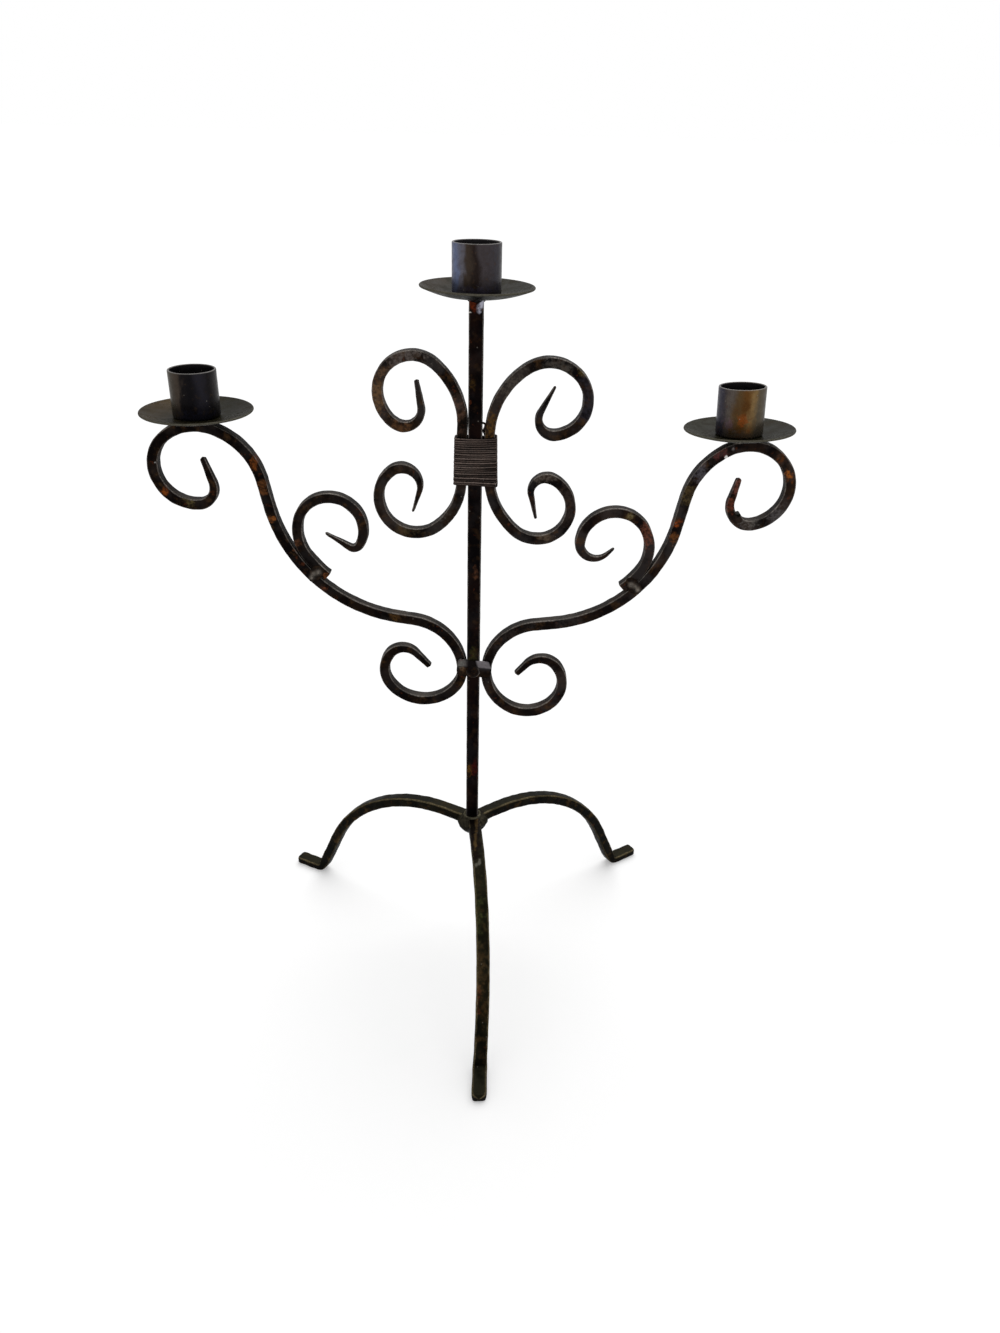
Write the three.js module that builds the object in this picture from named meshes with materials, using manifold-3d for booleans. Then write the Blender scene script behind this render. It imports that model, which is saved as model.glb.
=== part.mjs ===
// Three-light candle stand of forged square bar on a tripod foot.
// Millimetres, +Z up. The two arms lie in one upright plane, XZ, and the front leg points to -Y.
// Every bar is described as a smith bends it: straight stretches and bends, one after the other.

import * as THREE from 'three';
import { mergeVertices } from 'three/addons/utils/BufferGeometryUtils.js';
import Module from 'manifold-3d';

const manifold = await Module();
manifold.setup();

// ---- Driving dimensions -------------------------------------------------------------------

const clearance = 0.3; // left between pieces that touch
const bendSag = 0.11; // how far the straight facets of a bend may leave its true arc
const bendStep = 18; // largest angle between two sections of a bend, degrees
const roundSides = 32; // sides of a turned piece
const smallSides = 16; // sides of a rivet or a hole

// A bend turns away from the post when its sweep is positive, and back when it is negative.
const bend = (radius, sweep) => ({ radius, sweep });
const straight = (length) => ({ length });

// Post
const postSize = 8;
const postTopHeight = 454.3;
const postFootDrop = 8.1; // below the middle of the legs
const edgeChamfer = 0.8;

// Legs: square bar, arched, with a flattened toe on the floor. Directions are degrees from +X,
// and a bow is how far the middle of a leg stands out sideways.
const legWidth = 8;
const legThickness = 7.3;
const legHeight = 100.1; // middle of the bar where it leaves the post
const postFootHeight = legHeight - postFootDrop;
const legRise = 2.5; // angle at which it leaves
const legShoulder = straight(15.3);
const legArch = bend(103.5, 68.2);
const legs = {
  front_leg: { direction: -86.2, bow: 3.6 },
  right_leg: { direction: 34.8, bow: 0 },
  left_leg: { direction: 153.4, bow: 0 },
};
const ankleBend = 6;
const toeLength = 20;
const toeSpread = 10; // length over which the bar flattens into the toe
const toeThickness = 5.5;
const toeWidth = 9.5;
const toeEndWidth = 6;
const toeCorner = 2.5;

// Weld where the legs meet the post
const hubWeldTop = 1.4; // above the legs
const hubWeldTopRadius = 6.6;
const hubWeldRadius = 10.2;
const hubWeldFootRadius = 6;
const hubWeldDepth = 5.5; // below the legs

// Arms: each is one bar, from the tip of its top scroll to the tip of its bottom curl
const armSize = 6.4;
const armWaistHeight = 221.3; // where both arms stand against the post
const wireGap = 1.2; // room for the wire's end beside the post, on the right
const leftSlingRadius = 91.5; // of the long hollow between shoulder and crook
const rightSlingRadius = 83.5;
const leftArm = {
  side: -1,
  spread: 0,
  lift: 0.2,
  shoulder: [bend(36.5, 82), straight(8.5)],
  sling: bend(leftSlingRadius, -71),
  crook: [
    straight(16),
    bend(40.5, 58),
    bend(30, 63),
    bend(23, 143),
    bend(10.5, 102),
    straight(14.5),
  ],
  curl: [bend(19, 30), bend(26.5, 117), bend(19, 69), bend(11, 101), straight(13.5)],
};
const rightArm = {
  side: 1,
  spread: wireGap,
  lift: -0.5,
  shoulder: [bend(35, 83), straight(12)],
  sling: bend(rightSlingRadius, -72),
  crook: [
    straight(19.3),
    bend(42.5, 51),
    bend(27, 81),
    bend(24, 114),
    bend(12.5, 116),
    straight(14),
  ],
  curl: [bend(30.5, 60), bend(23.5, 83), bend(21, 75), bend(12.5, 100), straight(10.5)],
};
const armTip = 3; // thickness of the drawn-out ends
const armTaper = 34;

// Small scrolls, welded into the sling of each arm
const leftSprig = {
  start: 34,
  hug: 12,
  bends: [bend(27.5, -53), bend(20, -194), bend(4.5, -90), straight(13.5)],
};
const rightSprig = {
  start: 35,
  hug: 10,
  bends: [bend(26.5, -72), bend(21, -144), bend(10, -137), straight(6)],
};
const sprigSize = 6.2;
const sprigTip = 1.6;
const sprigTaper = 30;

// C-scrolls, bound to the post at their waist
const scrollSize = 6;
const scrollWaistDrop = 91.7; // below the post's top
const scrollWaistHeight = postTopHeight - scrollWaistDrop;
const leftScroll = {
  side: -1,
  spread: 0,
  upper: [straight(20), bend(47, 48), bend(20, 99), bend(21.5, 93), bend(9.5, 129), straight(15.5)],
  lower: [straight(9.5), bend(40.5, 52), bend(21.5, 182), bend(10, 146), straight(12.5)],
};
const rightScroll = {
  side: 1,
  spread: wireGap,
  upper: [straight(15.5), bend(46, 57), bend(23, 94), bend(20, 114), bend(9, 123), straight(16)],
  lower: [straight(8.5), bend(46, 50), bend(20, 194), bend(9, 128), straight(13)],
};
const scrollTip = 1.5;
const scrollTaper = 34;

// Binding wire round the post and both C-scrolls
const wireSize = 0.9;
const wirePitch = 1.35;
const wireTurns = 21;
const wireSides = 6;
const wireCornerSteps = 4;
const wireTail = 3; // straight end in the gap beside the post
const wireTailRise = 7; // how far the upper end climbs before it is tucked in

// Strap and rivet across the front of the arms' waist
const strapDrop = 1.4; // below the arms' waist
const strapHeight = 10.6; // at its back
const strapBevel = 3.2; // how much lower its front is
const strapThickness = 4;
const strapTilt = 4.5; // higher on the left
const rivetLift = 3; // above the arms' waist
const rivetSize = 4;
const rivetHeadRadius = 4.6;
const rivetHeadHeight = 2.4;
const rivetTailRadius = 3.4;
const rivetTailHeight = 1.4;

// Weld beads that hold the small scrolls
const beadLength = 11;
const beadWidth = 8;
const beadHeight = 1.7;
const beadSetBack = 7; // from the cut end of the small scroll

// Cups and drip pans
const cupRadius = 13.6;
const cupWall = 1.2;
const cupHeight = 26.6;
const panRadius = 32.4;
const panThickness = 1.2;
const panDepth = 5; // over all
const panFlatRadius = 14;
const panRimSteps = 4;
const panCurve = 1.5; // how much the rim sweeps up
const leftPanWeld = 0.6; // thickness of the weld between the arm's crest and the pan
const rightPanWeld = 1.3;
const panWeldRadius = 4.8;
const panWeldFootRadius = 4;
const panWeldDepth = 3; // how far it reaches down the sides of the bar
const topWeldHeight = 3.6; // fillet under the top pan
const topWeldRadius = 7;
const topWeldFootRadius = 4.8;
const cupRivetRadius = 2;
const cupRivetHeadRadius = 4;
const cupRivetHeadHeight = 1.2;
const cupRounding = 0.8;
const leftPanShift = 2; // from the arm's crest towards the post
const rightPanShift = 7.9;
const rightCupLean = { back: 2.5, inward: 2.2 }; // degrees
const upright = { back: 0, inward: 0 };

// ---- Finishes -----------------------------------------------------------------------------

const barIron = { color: 0x1d1815, roughness: 0.48, metalness: 0.75 };
const footIron = { color: 0x1a1b14, roughness: 0.52, metalness: 0.75 };
const cupSteel = { color: 0x2b2a33, roughness: 0.36, metalness: 0.85 };
const panSteel = { color: 0x33322a, roughness: 0.42, metalness: 0.8 };
const wireIron = { color: 0x3a322d, roughness: 0.5, metalness: 0.8 };
const weldIron = { color: 0x2f2e2c, roughness: 0.42, metalness: 0.8 };

// ---- Helpers ------------------------------------------------------------------------------

const radians = THREE.MathUtils.degToRad;

/** Points and headings of a bar's centre line in its plane, from a start and a list of moves. */
function bendPath(start, heading, moves, hand = 1) {
  const points = [{ out: start.out, up: start.up, heading, at: 0 }];
  const advance = (out, up, turn, length) => {
    const last = points[points.length - 1];
    points.push({ out, up, heading: last.heading + turn, at: last.at + length });
  };
  for (const move of moves) {
    const from = points[points.length - 1];
    if (move.length !== undefined) {
      advance(
        from.out + move.length * Math.cos(from.heading),
        from.up + move.length * Math.sin(from.heading),
        0,
        move.length,
      );
      continue;
    }
    const step = Math.min(radians(bendStep), 2 * Math.acos(1 - bendSag / move.radius));
    const steps = Math.ceil(radians(Math.abs(move.sweep)) / step);
    const turn = radians(-hand * move.sweep) / steps;
    const chord = 2 * move.radius * Math.sin(Math.abs(turn) / 2);
    for (let index = 0; index < steps; index += 1) {
      const last = points[points.length - 1];
      const aim = last.heading + turn / 2;
      const length = move.radius * Math.abs(turn);
      advance(last.out + chord * Math.cos(aim), last.up + chord * Math.sin(aim), turn, length);
    }
  }
  return points;
}

/** The same line walked from its end to its start. */
function reversed(points) {
  const total = points[points.length - 1].at;
  return points.map((p) => ({ ...p, heading: p.heading + Math.PI, at: total - p.at })).reverse();
}

/** Two lines joined where the first ends and the second starts. */
function joined(first, second) {
  const offset = first[first.length - 1].at;
  return [...first, ...second.slice(1).map((p) => ({ ...p, at: p.at + offset }))];
}

/** A closed tube through rings of points that all have the same count. */
function skin(rings) {
  const count = rings[0].length;
  const positions = rings.flat().flatMap((p) => [p.x, p.y, p.z]);
  const faces = [];
  for (let ring = 0; ring + 1 < rings.length; ring += 1) {
    for (let side = 0; side < count; side += 1) {
      const a = ring * count + side;
      const b = ring * count + ((side + 1) % count);
      faces.push(a, b, b + count, a, b + count, a + count);
    }
  }
  const last = (rings.length - 1) * count;
  for (let side = 1; side + 1 < count; side += 1) {
    faces.push(0, side + 1, side, last, last + side, last + side + 1);
  }
  const geometry = new THREE.BufferGeometry();
  geometry.setAttribute('position', new THREE.Float32BufferAttribute(positions, 3));
  geometry.setIndex(faces);
  return geometry;
}

/** Corner points of a square bar's section with bevelled edges, counter-clockwise. */
function barSection(wide, thick) {
  const w = wide / 2;
  const t = thick / 2;
  const c = (edgeChamfer * Math.min(wide, thick)) / postSize;
  return [
    [w, c - t], [w, t - c], [w - c, t], [c - w, t],
    [-w, t - c], [-w, c - t], [c - w, -t], [w - c, -t],
  ];
}

/** A bar along a line near the plane y = 0. sizeAt gives its width along Y and its thickness. */
function forgedBar(points, sizeAt) {
  const total = points[points.length - 1].at;
  const rings = points.map((p) => {
    const { wide, thick } = sizeAt(p.at, total);
    return barSection(wide, thick).map(([y, n]) => new THREE.Vector3(
      p.out - n * Math.sin(p.heading),
      y + (p.aside ?? 0),
      p.up + n * Math.cos(p.heading),
    ));
  });
  return skin(rings);
}

/** Thickness of a bar that is drawn out to a tip at one or both ends. */
function taper(full, tip, reach, bothEnds) {
  return (at, total) => {
    const toEnd = bothEnds ? Math.min(at, total - at) : total - at;
    const size = tip + (full - tip) * Math.min(1, toEnd / reach);
    return { wide: size, thick: size };
  };
}

/** A turned piece from its outline of [radius, height] points. */
function turned(outline, sides = roundSides) {
  const points = outline.map(([radius, height]) => new THREE.Vector2(radius, height));
  return new THREE.LatheGeometry(points, sides).rotateX(Math.PI / 2);
}

/** Turns a geometry into a solid that can be joined and cut. */
function toSolid(geometry) {
  const bare = geometry.clone();
  bare.deleteAttribute('normal');
  bare.deleteAttribute('uv');
  const merged = mergeVertices(bare, 1e-4);
  return new manifold.Manifold(new manifold.Mesh({
    numProp: 3,
    vertProperties: new Float32Array(merged.attributes.position.array),
    triVerts: new Uint32Array(merged.index.array),
  }));
}

/** Turns a solid back into a geometry. */
function toGeometry(solid) {
  const mesh = solid.getMesh();
  const geometry = new THREE.BufferGeometry();
  geometry.setAttribute('position', new THREE.BufferAttribute(new Float32Array(mesh.vertProperties), 3));
  geometry.setIndex(new THREE.BufferAttribute(new Uint32Array(mesh.triVerts), 1));
  return geometry;
}

/** The first geometry with all the others cut away from it. */
function cutAway(geometry, ...cutters) {
  const whole = toSolid(geometry);
  return toGeometry(cutters.reduce((solid, cutter) => solid.subtract(toSolid(cutter)), whole));
}

/** A box between two corners. */
function block(low, high) {
  const size = high.map((value, axis) => value - low[axis]);
  const middle = high.map((value, axis) => (value + low[axis]) / 2);
  return new THREE.BoxGeometry(...size).translate(...middle);
}

/** A named mesh with its own finish. */
function piece(name, geometry, finish) {
  geometry.computeVertexNormals();
  const mesh = new THREE.Mesh(geometry, new THREE.MeshStandardMaterial(finish));
  mesh.name = name;
  return mesh;
}

// ---- Post and legs ------------------------------------------------------------------------

/** How far from the post's axis a bar of the given size runs where it passes the post. */
const waistOut = ({ spread }, size) => postSize / 2 + clearance + spread + size / 2;

/** The upright square bar, drilled for the strap's rivet. */
function makePost() {
  const shape = new THREE.Shape(barSection(postSize, postSize).map(([x, y]) => new THREE.Vector2(x, y)));
  const length = postTopHeight - postFootHeight;
  const bar = new THREE.ExtrudeGeometry(shape, { depth: length, bevelEnabled: false });
  bar.translate(0, 0, postFootHeight);
  return piece('post', cutAway(bar, rivetHole()), barIron);
}

/** The drill that clears the strap's rivet, along Y. */
function rivetHole() {
  const radius = rivetSize / 2 + clearance;
  const length = 4 * postSize;
  const drill = new THREE.CylinderGeometry(radius, radius, length, smallSides);
  return drill.translate(0, 0, armWaistHeight + rivetLift);
}

/** Distance from the post's axis to its surface, square to a leg in the given direction. */
function postReach(direction) {
  const half = postSize / 2 + clearance;
  return half * (Math.abs(Math.cos(direction)) + Math.abs(Math.sin(direction)));
}

/** Centre line of a leg in its own upright plane, from the post to the toe's end. */
function legPath(start) {
  const heading = radians(legRise);
  const arch = bendPath({ out: start, up: legHeight }, heading, [legShoulder, legArch]);
  const end = arch[arch.length - 1];
  const fall = -end.heading;
  const drop = end.up - toeThickness / 2 - ankleBend * (1 - Math.cos(fall));
  const shin = straight(drop / Math.sin(fall));
  const ankle = bend(ankleBend, -THREE.MathUtils.radToDeg(fall));
  const toe = [straight(toeLength - 2 * toeCorner), straight(toeCorner), straight(toeCorner)];
  return bendPath({ out: start, up: legHeight }, heading, [legShoulder, legArch, shin, ankle, ...toe]);
}

/** Width and thickness along a leg: square bar, then flattened and rounded off at the toe. */
function legSizes(at, total) {
  const toEnd = total - at;
  const flat = THREE.MathUtils.clamp((toeLength + ankleBend / 2 + toeSpread - toEnd) / toeSpread, 0, 1);
  const corner = THREE.MathUtils.clamp(toEnd / (2 * toeCorner), 0, 1);
  const rounding = Math.sqrt(1 - (1 - corner) ** 2);
  const wide = legWidth + (toeWidth - legWidth) * flat;
  return {
    wide: toeEndWidth + (wide - toeEndWidth) * rounding,
    thick: legThickness + (toeThickness - legThickness) * flat,
  };
}

/** One leg, turned to its direction round the post. */
function makeLeg(name, { direction, bow }) {
  const path = legPath(postReach(radians(direction)));
  const total = path[path.length - 1].at;
  for (const point of path) {
    point.aside = bow * Math.sin((Math.PI * point.at) / total);
  }
  const leg = piece(name, forgedBar(path, legSizes), footIron);
  leg.rotation.z = radians(direction);
  return leg;
}

/** Room for a leg in the weld, from the post's axis outwards. */
function legRoom({ direction }) {
  const start = postReach(radians(direction));
  const heading = radians(legRise);
  const moves = [straight(start / Math.cos(heading)), legShoulder, legArch];
  const path = bendPath({ out: 0, up: legHeight - start * Math.tan(heading) }, heading, moves);
  const sizes = { wide: legWidth + 2 * clearance, thick: legThickness + 2 * clearance };
  return forgedBar(path, () => sizes).rotateZ(radians(direction));
}

/** The weld that fills the corners between the legs and the foot of the post. */
function makeHubWeld() {
  const top = legHeight + legThickness / 2 + hubWeldTop;
  const bottom = legHeight - legThickness / 2 - hubWeldDepth;
  const body = turned([
    [0, bottom],
    [hubWeldFootRadius, bottom],
    [hubWeldRadius, bottom + hubWeldDepth],
    [hubWeldRadius, legHeight + legThickness / 4],
    [hubWeldTopRadius, top],
    [0, top],
  ]);
  const half = postSize / 2 + clearance;
  const postRoom = block([-half, -half, postFootHeight - clearance], [half, half, 2 * top]);
  return piece('hub_weld', cutAway(body, postRoom, ...Object.values(legs).map(legRoom)), weldIron);
}

// ---- Arms and scrolls ---------------------------------------------------------------------

/** Turns a piece that is drawn on the right-hand side to the side that it belongs to. */
function onSide(mesh, side) {
  mesh.rotation.z = side < 0 ? Math.PI : 0;
  return mesh;
}

/** Centre line of an arm from the tip of its bottom curl to the tip of its top scroll. */
function armPath(arm) {
  const waist = { out: waistOut(arm, armSize), up: armWaistHeight + arm.lift };
  const rise = bendPath(waist, Math.PI / 2, [...arm.shoulder, arm.sling, ...arm.crook]);
  const curl = bendPath(waist, -Math.PI / 2, arm.curl, -1);
  return joined(reversed(curl), rise);
}

/** The highest point of an arm's centre line, where its pan stands. */
function armCrest(arm) {
  const path = armPath(arm);
  const start = path.findLastIndex((p, index) => index + 1 < path.length
    && Math.sin(p.heading) > 0 && Math.sin(path[index + 1].heading) <= 0);
  const { out, up, heading, at } = path[start];
  const radius = (path[start + 1].at - at) / (heading - path[start + 1].heading);
  return { out: out + radius * Math.sin(heading), up: up + radius * (1 - Math.cos(heading)) };
}

/** Centre line of the small scroll: it follows the sling of its arm, then curls in. */
function sprigPath(arm, sprig) {
  const waist = { out: waistOut(arm, armSize), up: armWaistHeight + arm.lift };
  const toStart = [...arm.shoulder, bend(arm.sling.radius, -sprig.start)];
  const line = bendPath(waist, Math.PI / 2, toStart);
  const foot = line[line.length - 1];
  const offset = (armSize + sprigSize) / 2 + clearance;
  const start = {
    out: foot.out - offset * Math.sin(foot.heading),
    up: foot.up + offset * Math.cos(foot.heading),
  };
  return bendPath(start, foot.heading, [bend(arm.sling.radius - offset, -sprig.hug), ...sprig.bends]);
}

function makeArm(name, arm) {
  const bar = forgedBar(armPath(arm), taper(armSize, armTip, armTaper, true));
  return onSide(piece(name, bar, barIron), arm.side);
}

function makeSprig(name, arm, sprig) {
  const bar = forgedBar(sprigPath(arm, sprig), taper(sprigSize, sprigTip, sprigTaper, false));
  return onSide(piece(name, bar, barIron), arm.side);
}

/** A weld bead that lies over the front of a small scroll and its arm, near the cut end. */
function makeBead(name, arm, sprig) {
  const cutEnd = sprigPath(arm, sprig)[0];
  const along = cutEnd.heading;
  const seam = (sprigSize + clearance) / 2;
  const out = cutEnd.out + beadSetBack * Math.cos(along) + seam * Math.sin(along);
  const up = cutEnd.up + beadSetBack * Math.sin(along) - seam * Math.cos(along);
  const dome = turned([[0, 0], [1, 0], [0.92, 0.5], [0.6, 0.85], [0, 1]], smallSides);
  dome.scale(beadLength / 2, beadWidth / 2, beadHeight);
  dome.rotateZ(arm.side * along).rotateX(Math.PI / 2);
  dome.translate(arm.side * out, -(armSize / 2 + clearance), up);
  return piece(name, dome, weldIron);
}

/** Centre line of a C-scroll from its lower tip to its upper tip. */
function scrollPath(scroll) {
  const waist = { out: waistOut(scroll, scrollSize), up: scrollWaistHeight };
  const upper = bendPath(waist, Math.PI / 2, scroll.upper);
  const lower = bendPath(waist, -Math.PI / 2, scroll.lower, -1);
  return joined(reversed(lower), upper);
}

function makeScroll(name, scroll) {
  const bar = forgedBar(scrollPath(scroll), taper(scrollSize, scrollTip, scrollTaper, true));
  return onSide(piece(name, bar, barIron), scroll.side);
}

// ---- Strap, rivet and binding wire --------------------------------------------------------

/** A short flat bar across both arms, notched round the post and drilled for the rivet. */
function makeStrap() {
  const left = -waistOut(leftArm, armSize) - armSize / 2;
  const right = waistOut(rightArm, armSize) + armSize / 2;
  const bottom = armWaistHeight - strapDrop;
  const back = armSize / 2 + clearance;
  const front = back + strapThickness;
  const section = new THREE.Shape([
    new THREE.Vector2(back, bottom),
    new THREE.Vector2(front, bottom),
    new THREE.Vector2(front, bottom + strapHeight - strapBevel),
    new THREE.Vector2(back, bottom + strapHeight),
  ]);
  const bar = new THREE.ExtrudeGeometry(section, { depth: right - left, bevelEnabled: false });
  const toAxes = new THREE.Matrix4().makeBasis(
    new THREE.Vector3(0, -1, 0),
    new THREE.Vector3(0, 0, 1),
    new THREE.Vector3(-1, 0, 0),
  );
  const rivetUp = armWaistHeight + rivetLift;
  bar.applyMatrix4(toAxes).translate(right, 0, -rivetUp);
  bar.rotateY(radians(strapTilt)).translate(0, 0, rivetUp);
  const half = postSize / 2 + clearance;
  const notch = block([-half, -half, bottom - strapHeight], [half, half, bottom + 2 * strapHeight]);
  return piece('collar_strap', cutAway(bar, notch, rivetHole()), barIron);
}

/** The rivet through strap and post, with its head in front and its tail behind. */
function makeRivet() {
  const shank = rivetSize / 2;
  const headSeat = armSize / 2 + clearance + strapThickness + clearance;
  const tailSeat = -(postSize / 2 + clearance);
  const rivet = turned([
    [0, tailSeat - rivetTailHeight],
    [rivetTailRadius * 0.7, tailSeat - rivetTailHeight * 0.85],
    [rivetTailRadius, tailSeat],
    [shank, tailSeat],
    [shank, headSeat],
    [rivetHeadRadius, headSeat],
    [rivetHeadRadius * 0.9, headSeat + rivetHeadHeight * 0.5],
    [rivetHeadRadius * 0.55, headSeat + rivetHeadHeight * 0.88],
    [0, headSeat + rivetHeadHeight],
  ], smallSides);
  rivet.rotateX(Math.PI / 2).translate(0, 0, armWaistHeight + rivetLift);
  return piece('collar_rivet', rivet, barIron);
}

/** The winding's corners in one turn, seen from above, with the wire's outward side before and after. */
function wireCorners() {
  const left = -waistOut(leftScroll, scrollSize) - scrollSize / 2;
  const right = waistOut(rightScroll, scrollSize) + scrollSize / 2;
  const half = scrollSize / 2;
  const post = postSize / 2;
  const hull = [
    [post, post], [-post, post], [left, half], [left, -half],
    [-post, -post], [post, -post], [right, -half], [right, half],
  ];
  return hull.map(([x, y], index) => {
    const [beforeX, beforeY] = hull[(index + hull.length - 1) % hull.length];
    const [afterX, afterY] = hull[(index + 1) % hull.length];
    const from = Math.atan2(y - beforeY, x - beforeX) - Math.PI / 2;
    const to = Math.atan2(afterY - y, afterX - x) - Math.PI / 2;
    return { x, y, from, turn: Math.atan2(Math.sin(to - from), Math.cos(to - from)) };
  });
}

/** Points of the wire round one corner, seen from above. A slight corner takes a single point. */
function roundCorner({ x, y, from, turn }) {
  const distance = clearance + wireSize / 2;
  const steps = turn > radians(45) ? wireCornerSteps : 0;
  return Array.from({ length: steps + 1 }, (_, step) => {
    const angle = from + (steps ? (turn * step) / steps : turn / 2);
    return new THREE.Vector3(x + distance * Math.cos(angle), y + distance * Math.sin(angle), 0);
  });
}

/** The wire's line: the lower end beside the post, the turns, and the upper end tucked in. */
function wirePath() {
  const corners = wireCorners();
  const lap = corners.flatMap(roundCorner);
  const gap = postSize / 2 + clearance + wireSize / 2;
  const entry = roundCorner({ ...corners[0], from: 0, turn: Math.PI / 2 });
  const line = [new THREE.Vector3(gap, postSize / 2 - wireTail, 0), ...entry, ...lap.slice(1)];
  for (let turn = 1; turn < wireTurns; turn += 1) {
    line.push(...lap.map((p) => p.clone()));
  }
  const outer = corners[corners.length - 1];
  const inner = { x: outer.x - scrollSize, y: outer.y, from: Math.PI / 2, turn: Math.PI / 2 };
  const tuck = [...roundCorner(inner), new THREE.Vector3(gap, outer.y - wireTail, 0)];
  const square = new THREE.Vector3(outer.x - clearance, tuck[0].y, 0);
  line.push(square, ...tuck);

  const lapLength = lap.reduce((sum, p, index) => sum + p.distanceTo(lap[(index + 1) % lap.length]), 0);
  const bottom = scrollWaistHeight - (wirePitch * wireTurns) / 2;
  let travelled = 0;
  line.forEach((p, index) => {
    travelled += index ? Math.hypot(p.x - line[index - 1].x, p.y - line[index - 1].y) : 0;
    const tucked = index >= line.length - tuck.length ? wireTailRise : 0;
    p.z = bottom + (wirePitch * travelled) / lapLength + tucked;
  });
  return line;
}

/** Least gap between stretches of the wire that are more than a corner apart, on points of its line. */
function leastWireGap(line) {
  const spacing = wireSize / 2;
  const points = [];
  let travelled = 0;
  for (let index = 1; index < line.length; index += 1) {
    const length = line[index].distanceTo(line[index - 1]);
    const count = Math.ceil(length / spacing);
    for (let step = 0; step < count; step += 1) {
      const p = line[index - 1].clone().lerp(line[index], step / count);
      points.push({ p, at: travelled + (length * step) / count });
    }
    travelled += length;
  }
  let least = Infinity;
  points.forEach((a, index) => {
    for (let other = index + 1; other < points.length; other += 1) {
      const b = points[other];
      if (b.at - a.at > 6 * wireSize) {
        least = Math.min(least, a.p.distanceTo(b.p));
      }
    }
  });
  return least - wireSize;
}

/** The binding: one unbroken wire. */
function makeWire() {
  const line = wirePath();
  console.log(`binding wire: least gap to itself ${leastWireGap(line).toFixed(3)} mm`);
  const rings = line.map((p, index) => {
    const before = p.clone().sub(line[Math.max(index - 1, 0)]).normalize();
    const after = line[Math.min(index + 1, line.length - 1)].clone().sub(p).normalize();
    const along = before.add(after).normalize();
    const across = new THREE.Vector3(-along.y, along.x, 0).normalize();
    const over = along.clone().cross(across);
    return Array.from({ length: wireSides }, (_, side) => {
      const angle = (2 * Math.PI * side) / wireSides;
      return p.clone()
        .addScaledVector(across, (wireSize / 2) * Math.cos(angle))
        .addScaledVector(over, (wireSize / 2) * Math.sin(angle));
    });
  });
  return piece('wire_binding', skin(rings), wireIron);
}

// ---- Cups, pans and what holds them -------------------------------------------------------

/** Where a pan's underside stands, and how it leans. */
function seatOf(x, up, lean) {
  const inward = -Math.sign(x) * radians(lean.inward);
  const turn = new THREE.Euler(-radians(lean.back), inward, 0);
  return new THREE.Matrix4().makeRotationFromEuler(turn).setPosition(x, 0, up);
}

/** A pan's place on an arm: a weld's thickness above the crest, and a shift towards the post. */
function armSeat(arm, weld, shift, lean) {
  const crest = armCrest(arm);
  return seatOf(arm.side * (crest.out - shift), crest.up + armSize / 2 + weld + 2 * clearance, lean);
}

/** Places a piece that is drawn upright on the origin. */
function seated(mesh, seat) {
  mesh.applyMatrix4(seat);
  return mesh;
}

/** A saucer with a flat middle and a rim that sweeps up. */
function makePan(name, seat) {
  const rise = panDepth - panThickness;
  const profile = Array.from({ length: panRimSteps + 1 }, (_, step) => {
    const share = step / panRimSteps;
    return [panFlatRadius + (panRadius - panFlatRadius) * share, rise * share ** panCurve];
  });
  const hole = cupRivetRadius + clearance;
  const under = [[hole, 0], ...profile];
  const over = [...under].reverse().map(([radius, height]) => [radius, height + panThickness]);
  return seated(piece(`${name}_drip_pan`, turned([...under, ...over, under[0]]), panSteel), seat);
}

/** A cylindrical cup with a flat floor, open at the top. */
function makeCup(name, seat) {
  const hole = cupRivetRadius + clearance;
  const inside = cupRadius - cupWall;
  const cup = turned([
    [hole, 0],
    [cupRadius - cupRounding, 0],
    [cupRadius, cupRounding],
    [cupRadius, cupHeight],
    [inside, cupHeight],
    [inside, cupWall + cupRounding],
    [inside - cupRounding, cupWall],
    [hole, cupWall],
    [hole, 0],
  ]);
  cup.translate(0, 0, panThickness + clearance);
  return seated(piece(`${name}_candle_cup`, cup, cupSteel), seat);
}

/** The rivet that holds cup and pan together, with its head inside the cup. */
function makeCupRivet(name, seat) {
  const headSeat = panThickness + cupWall + 2 * clearance;
  const rivet = turned([
    [0, 0],
    [cupRivetRadius, 0],
    [cupRivetRadius, headSeat],
    [cupRivetHeadRadius, headSeat],
    [cupRivetHeadRadius, headSeat + cupRivetHeadHeight / 2],
    [cupRivetHeadRadius * 0.7, headSeat + cupRivetHeadHeight],
    [0, headSeat + cupRivetHeadHeight],
  ], smallSides);
  return seated(piece(`${name}_cup_rivet`, rivet, cupSteel), seat);
}

/** Room for an arm's bar in the weld under its pan. */
function armRoom(arm) {
  const size = armSize + 2 * clearance;
  const bar = forgedBar(armPath(arm), () => ({ wide: size, thick: size }));
  return bar.rotateZ(arm.side < 0 ? Math.PI : 0);
}

/** The weld between an arm and its pan: a pad that reaches down both sides of the bar. */
function makePanWeld(name, seat, arm, depth) {
  const top = -clearance;
  const pad = turned([[0, -depth], [panWeldFootRadius, -depth], [panWeldRadius, top], [0, top]]);
  return piece(`${name}_pan_weld`, cutAway(pad.applyMatrix4(seat), armRoom(arm)), weldIron);
}

/** The weld round the top of the post, under the top pan. */
function makeTopWeld() {
  const bottom = postTopHeight - topWeldHeight;
  const ring = turned([
    [0, bottom],
    [topWeldFootRadius, bottom],
    [topWeldRadius, postTopHeight],
    [0, postTopHeight],
  ]);
  const half = postSize / 2 + clearance;
  const postRoom = block([-half, -half, bottom - half], [half, half, postTopHeight + half]);
  return piece('top_pan_weld', cutAway(ring, postRoom), weldIron);
}

function makeCandleSeat(name, seat) {
  return [makePan(name, seat), makeCup(name, seat), makeCupRivet(name, seat)];
}

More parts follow.
